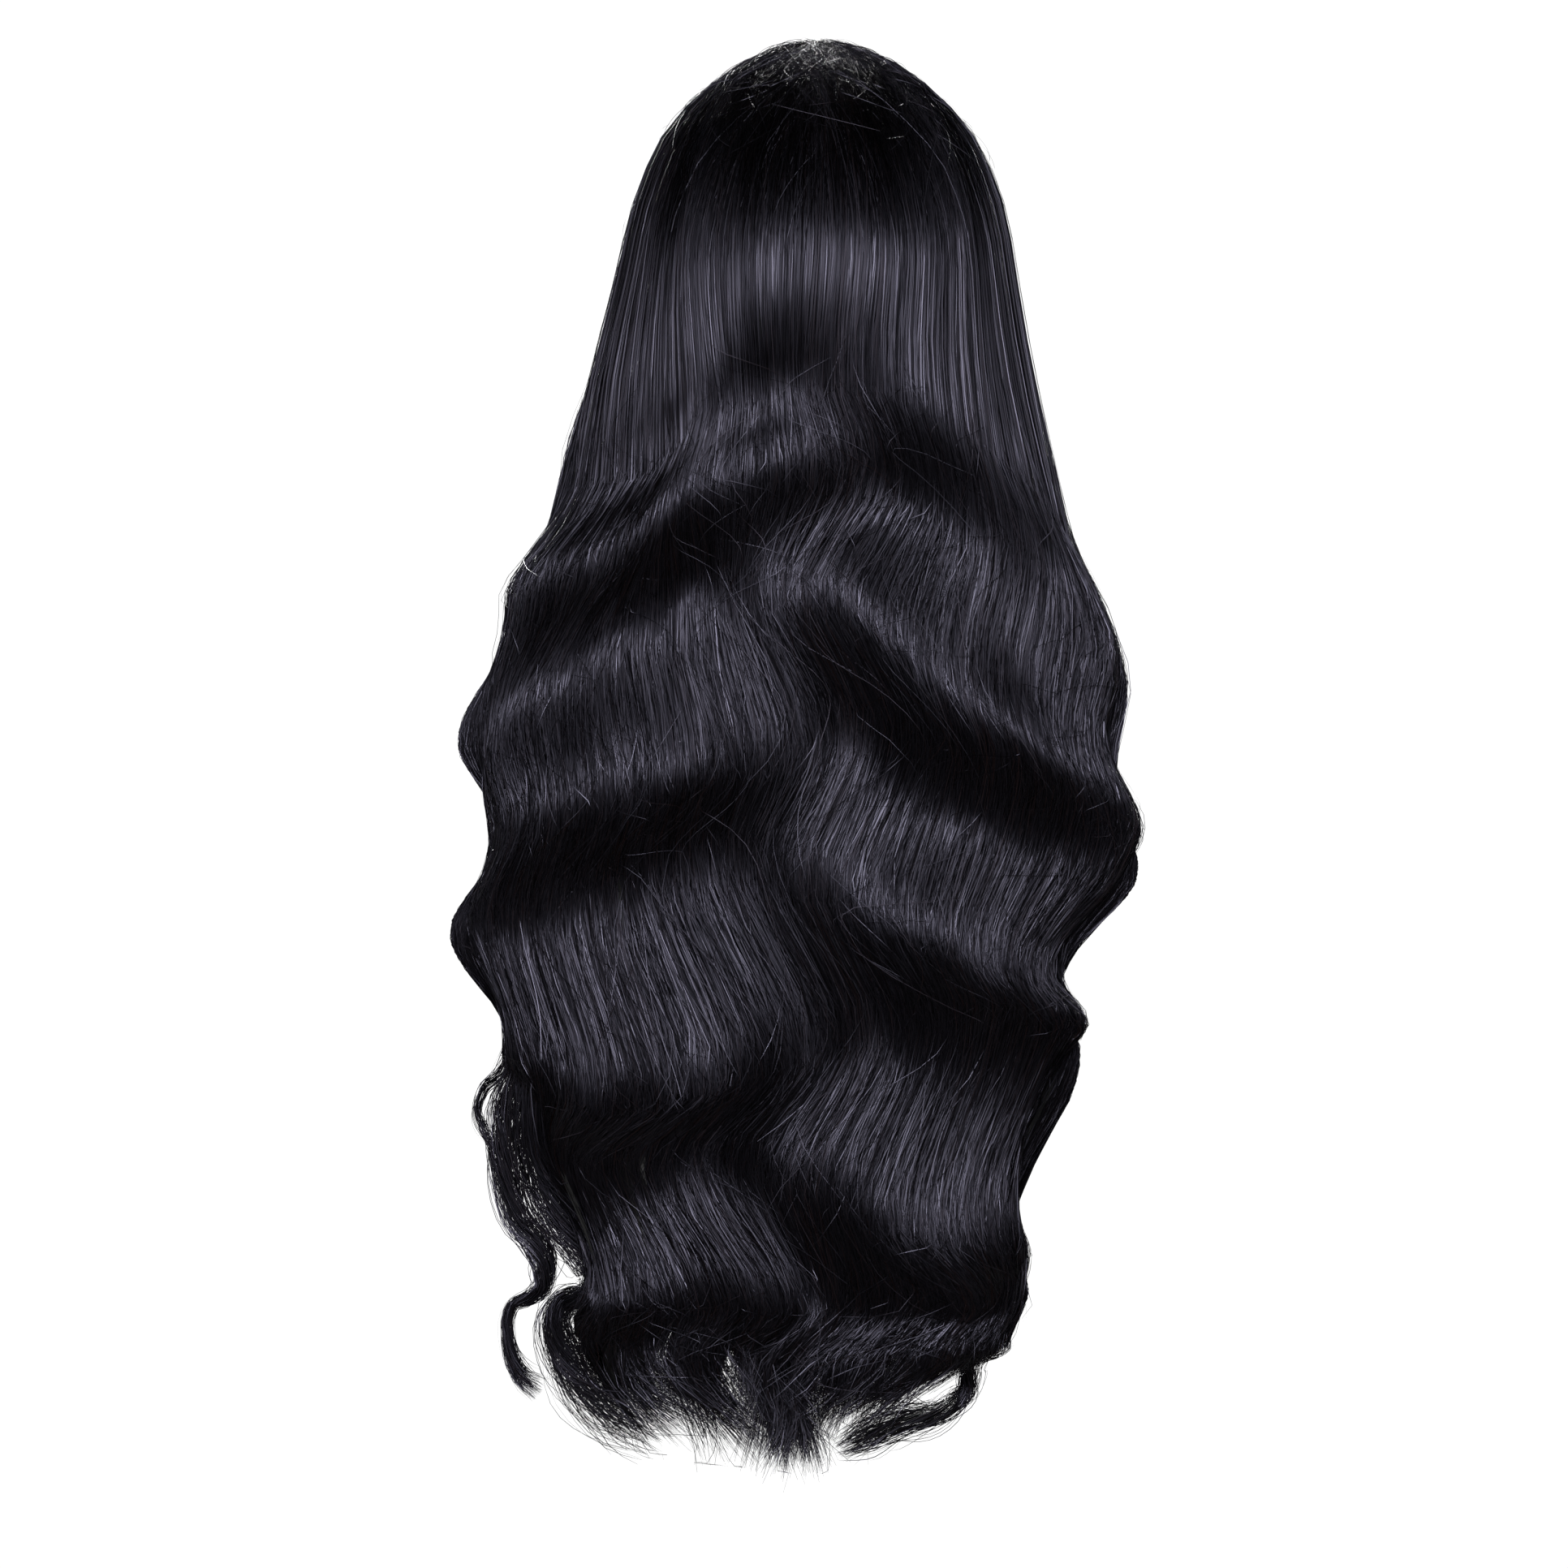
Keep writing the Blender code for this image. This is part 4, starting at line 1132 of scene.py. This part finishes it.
def bodyHairs(rng):
    shape = looseShape
    count, steps = shape["bodyHairs"], shape["bodySteps"]
    inside = rng.random(count) < shape["onSurface"]
    onBack = rng.uniform(-1.0, 1.0, count)
    onSide = rng.choice([-1.0, 1.0], count) * rng.uniform(shape["sideFrom"], 1.12, count)
    across = np.where(inside, onBack, onSide)
    start = rng.uniform(0.6, 8.6, count)
    length = rng.uniform(*shape["length"], count)
    share = evenly(steps)
    turns = start[:, None] + share * length[:, None]
    turns = np.minimum(turns, (endTurn(across) + 0.1)[:, None])
    turns = np.maximum.accumulate(turns + 1e-4 * np.arange(steps), 1)
    line = wander(rng, count, share.repeat(count, 0), (0.6, 1, 1.7), shape["wander"])
    off = rng.uniform(*shape["off"], count)
    off = off * np.where(np.abs(across) > shape["sideFrom"], rng.random(count), 1.0)
    deep = 0.08 - off[:, None] * np.sin(np.pi * share.clip(0.08, 1.0)) ** 0.8
    return hangingPoint(across[:, None] + line, turns.clip(0, lastTurn), deep)


def crownHairs(rng):
    shape = looseShape
    count = shape["crownHairs"]
    s = evenly(shape["crownSteps"])
    angle = rng.uniform(-1.7, 1.7, count)
    radial = rng.uniform(0.0, 0.75, count)
    reach = rng.uniform(*shape["crownReach"], count)
    swing = angle[:, None] + rng.normal(0, 0.3, (count, 1)) * s
    ring = (radial[:, None] + reach[:, None] * s).clip(0, 0.97)
    off = -rng.uniform(*shape["crownOff"], count)[:, None] * np.sin(np.pi * s * 0.8)
    return crownPoint(-ring * np.sin(swing), ring * np.cos(swing), off)


def hairlineHairs(rng):
    shape = looseShape
    count = shape["hairlineHairs"]
    s = evenly(shape["hairlineSteps"])
    side = rng.choice([-1.0, 1.0], count)[:, None]
    turn = np.radians(rng.uniform(shape["hairlineFrom"], 180, count))[:, None]
    line = np.interp(turn, hairlineTurns, hairlineDrops)
    below = rng.uniform(-1.0, 2.0, (count, 1))
    drop = line + np.radians(below - rng.uniform(*shape["hairlineReach"], (count, 1)) * s)
    turn = turn - np.radians(rng.uniform(-4, 22, (count, 1)) * s**1.3)
    points, outward = crownSkin(side * turn, np.minimum(drop, line))
    off = 0.0008 + 0.004 * rng.random((count, 1)) * np.sin(np.pi * s * 0.9)
    return points + outward * off[..., None], outward


def makeLoose():
    rng = np.random.default_rng(77)
    bundle = Bundle()
    for hairs, twist in ((bodyHairs, 1.57), (crownHairs, 1.57), (hairlineHairs, 1.2)):
        points, outward = hairs(rng)
        bundle.add(rng, points, outward, looseShape["width"], twist)
    bundle.piece("loose_hairs")


makeLoose()

# The trims keep their solids and get their finishes
for node, make in (("cap", capFinish), ("lace_front", laceFinish), ("nape_band", bandFinish)):
    solid = bpy.data.objects[node]
    material = make()
    for holder in solid.material_slots:
        holder.material = material
    if not solid.material_slots:
        solid.data.materials.append(material)
print("trims finished")

# Floor, lights and camera
studio = {
    "floorDrop": -1.65,
    "floorSize": 8.0,
    "world": 1.06,
    "worldStops": [
        (0.27, (0.05, 0.05, 0.05)),
        (0.32, (1, 1, 1)),
        (0.565, (1, 1, 1)),
        (0.61, (0.25, 0.25, 0.25)),
        (0.72, (0.05, 0.05, 0.05)),
    ],
    "floorGlow": 1.0,
    "cameraAway": 3.6,
    "plane": 0.030,
    "frameWidth": 0.8694,
    "centre": (0.0189, -0.3925),
}
# Each light's place, aim, size, power, spread in degrees, and whether only its shine shows
lights = {
    "key": ((0.1, 2.68, 0.68), (0.0, 0.1, -0.30), (2.8, 1.2), 430.0, 80, True),
    "front_key": ((-0.1, -2.68, 0.68), (0.0, 0.0, -0.30), (2.8, 1.2), 258.0, 80, True),
    "rim": ((0.0, -1.9, 1.7), (0.0, 0.0, 0.0), (0.8, 0.4), 4.5, 30, False),
}


def makeStage():
    size = studio["floorSize"] / 2
    z = studio["floorDrop"]
    mesh = bpy.data.meshes.new("floor")
    corners = [(x * size, y * size, z) for x, y in ((-1, -1), (1, -1), (1, 1), (-1, 1))]
    mesh.from_pydata(corners, [], [(0, 1, 2, 3)])
    floor = bpy.data.objects.new("floor", mesh)
    bpy.context.scene.collection.objects.link(floor)
    finish = Finish("pale_floor", Roughness=0.9, Specular_IOR_Level=0.1)
    cloud = finish.noise(finish.spot(), 3.0, 2.0)
    greys = [(0.3, (0.93, 0.93, 0.93)), (0.7, (0.96, 0.96, 0.96))]
    finish.feed(Base_Color=finish.ramp(cloud, greys))
    finish.feed(Emission_Color=(1.0, 1.0, 1.0, 1.0), Emission_Strength=studio["floorGlow"])
    mesh.materials.append(finish.material)


def makeLights():
    for name, (place, aim, size, power, spread, onlyShine) in lights.items():
        data = bpy.data.lights.new(name, "AREA")
        data.shape = "RECTANGLE"
        data.size, data.size_y = size
        data.energy = power
        data.spread = math.radians(spread)
        light = bpy.data.objects.new(name, data)
        light.location = place
        way = Vector(aim) - Vector(place)
        light.rotation_euler = way.to_track_quat("-Z", "Y").to_euler()
        light.visible_diffuse = not onlyShine
        bpy.context.scene.collection.objects.link(light)


def makeWorld():
    world = bpy.data.worlds.new("studio")
    sky = Tree(world)
    background = sky.nodes["Background"]
    high = sky.part(sky.add("ShaderNodeTexCoord"), "Z")
    sky.join(sky.ramp(high * 0.5 + 0.5, studio["worldStops"]), background.inputs["Color"])
    sky.join(studio["world"], background.inputs["Strength"])
    bpy.context.scene.world = world
    bpy.context.scene.view_settings.view_transform = "Standard"


def makeCamera():
    data = bpy.data.cameras.new("camera")
    data.sensor_width = 36.0
    data.lens = 36.0 * studio["cameraAway"] / studio["frameWidth"]
    data.clip_end = 50.0
    camera = bpy.data.objects.new("camera", data)
    x, z = studio["centre"]
    camera.location = (x, studio["plane"] + studio["cameraAway"], z)
    camera.rotation_euler = (math.radians(90), 0.0, math.radians(180))
    bpy.context.scene.collection.objects.link(camera)
    bpy.context.scene.camera = camera


makeStage()
makeWorld()
makeLights()
makeCamera()
print("studio made")
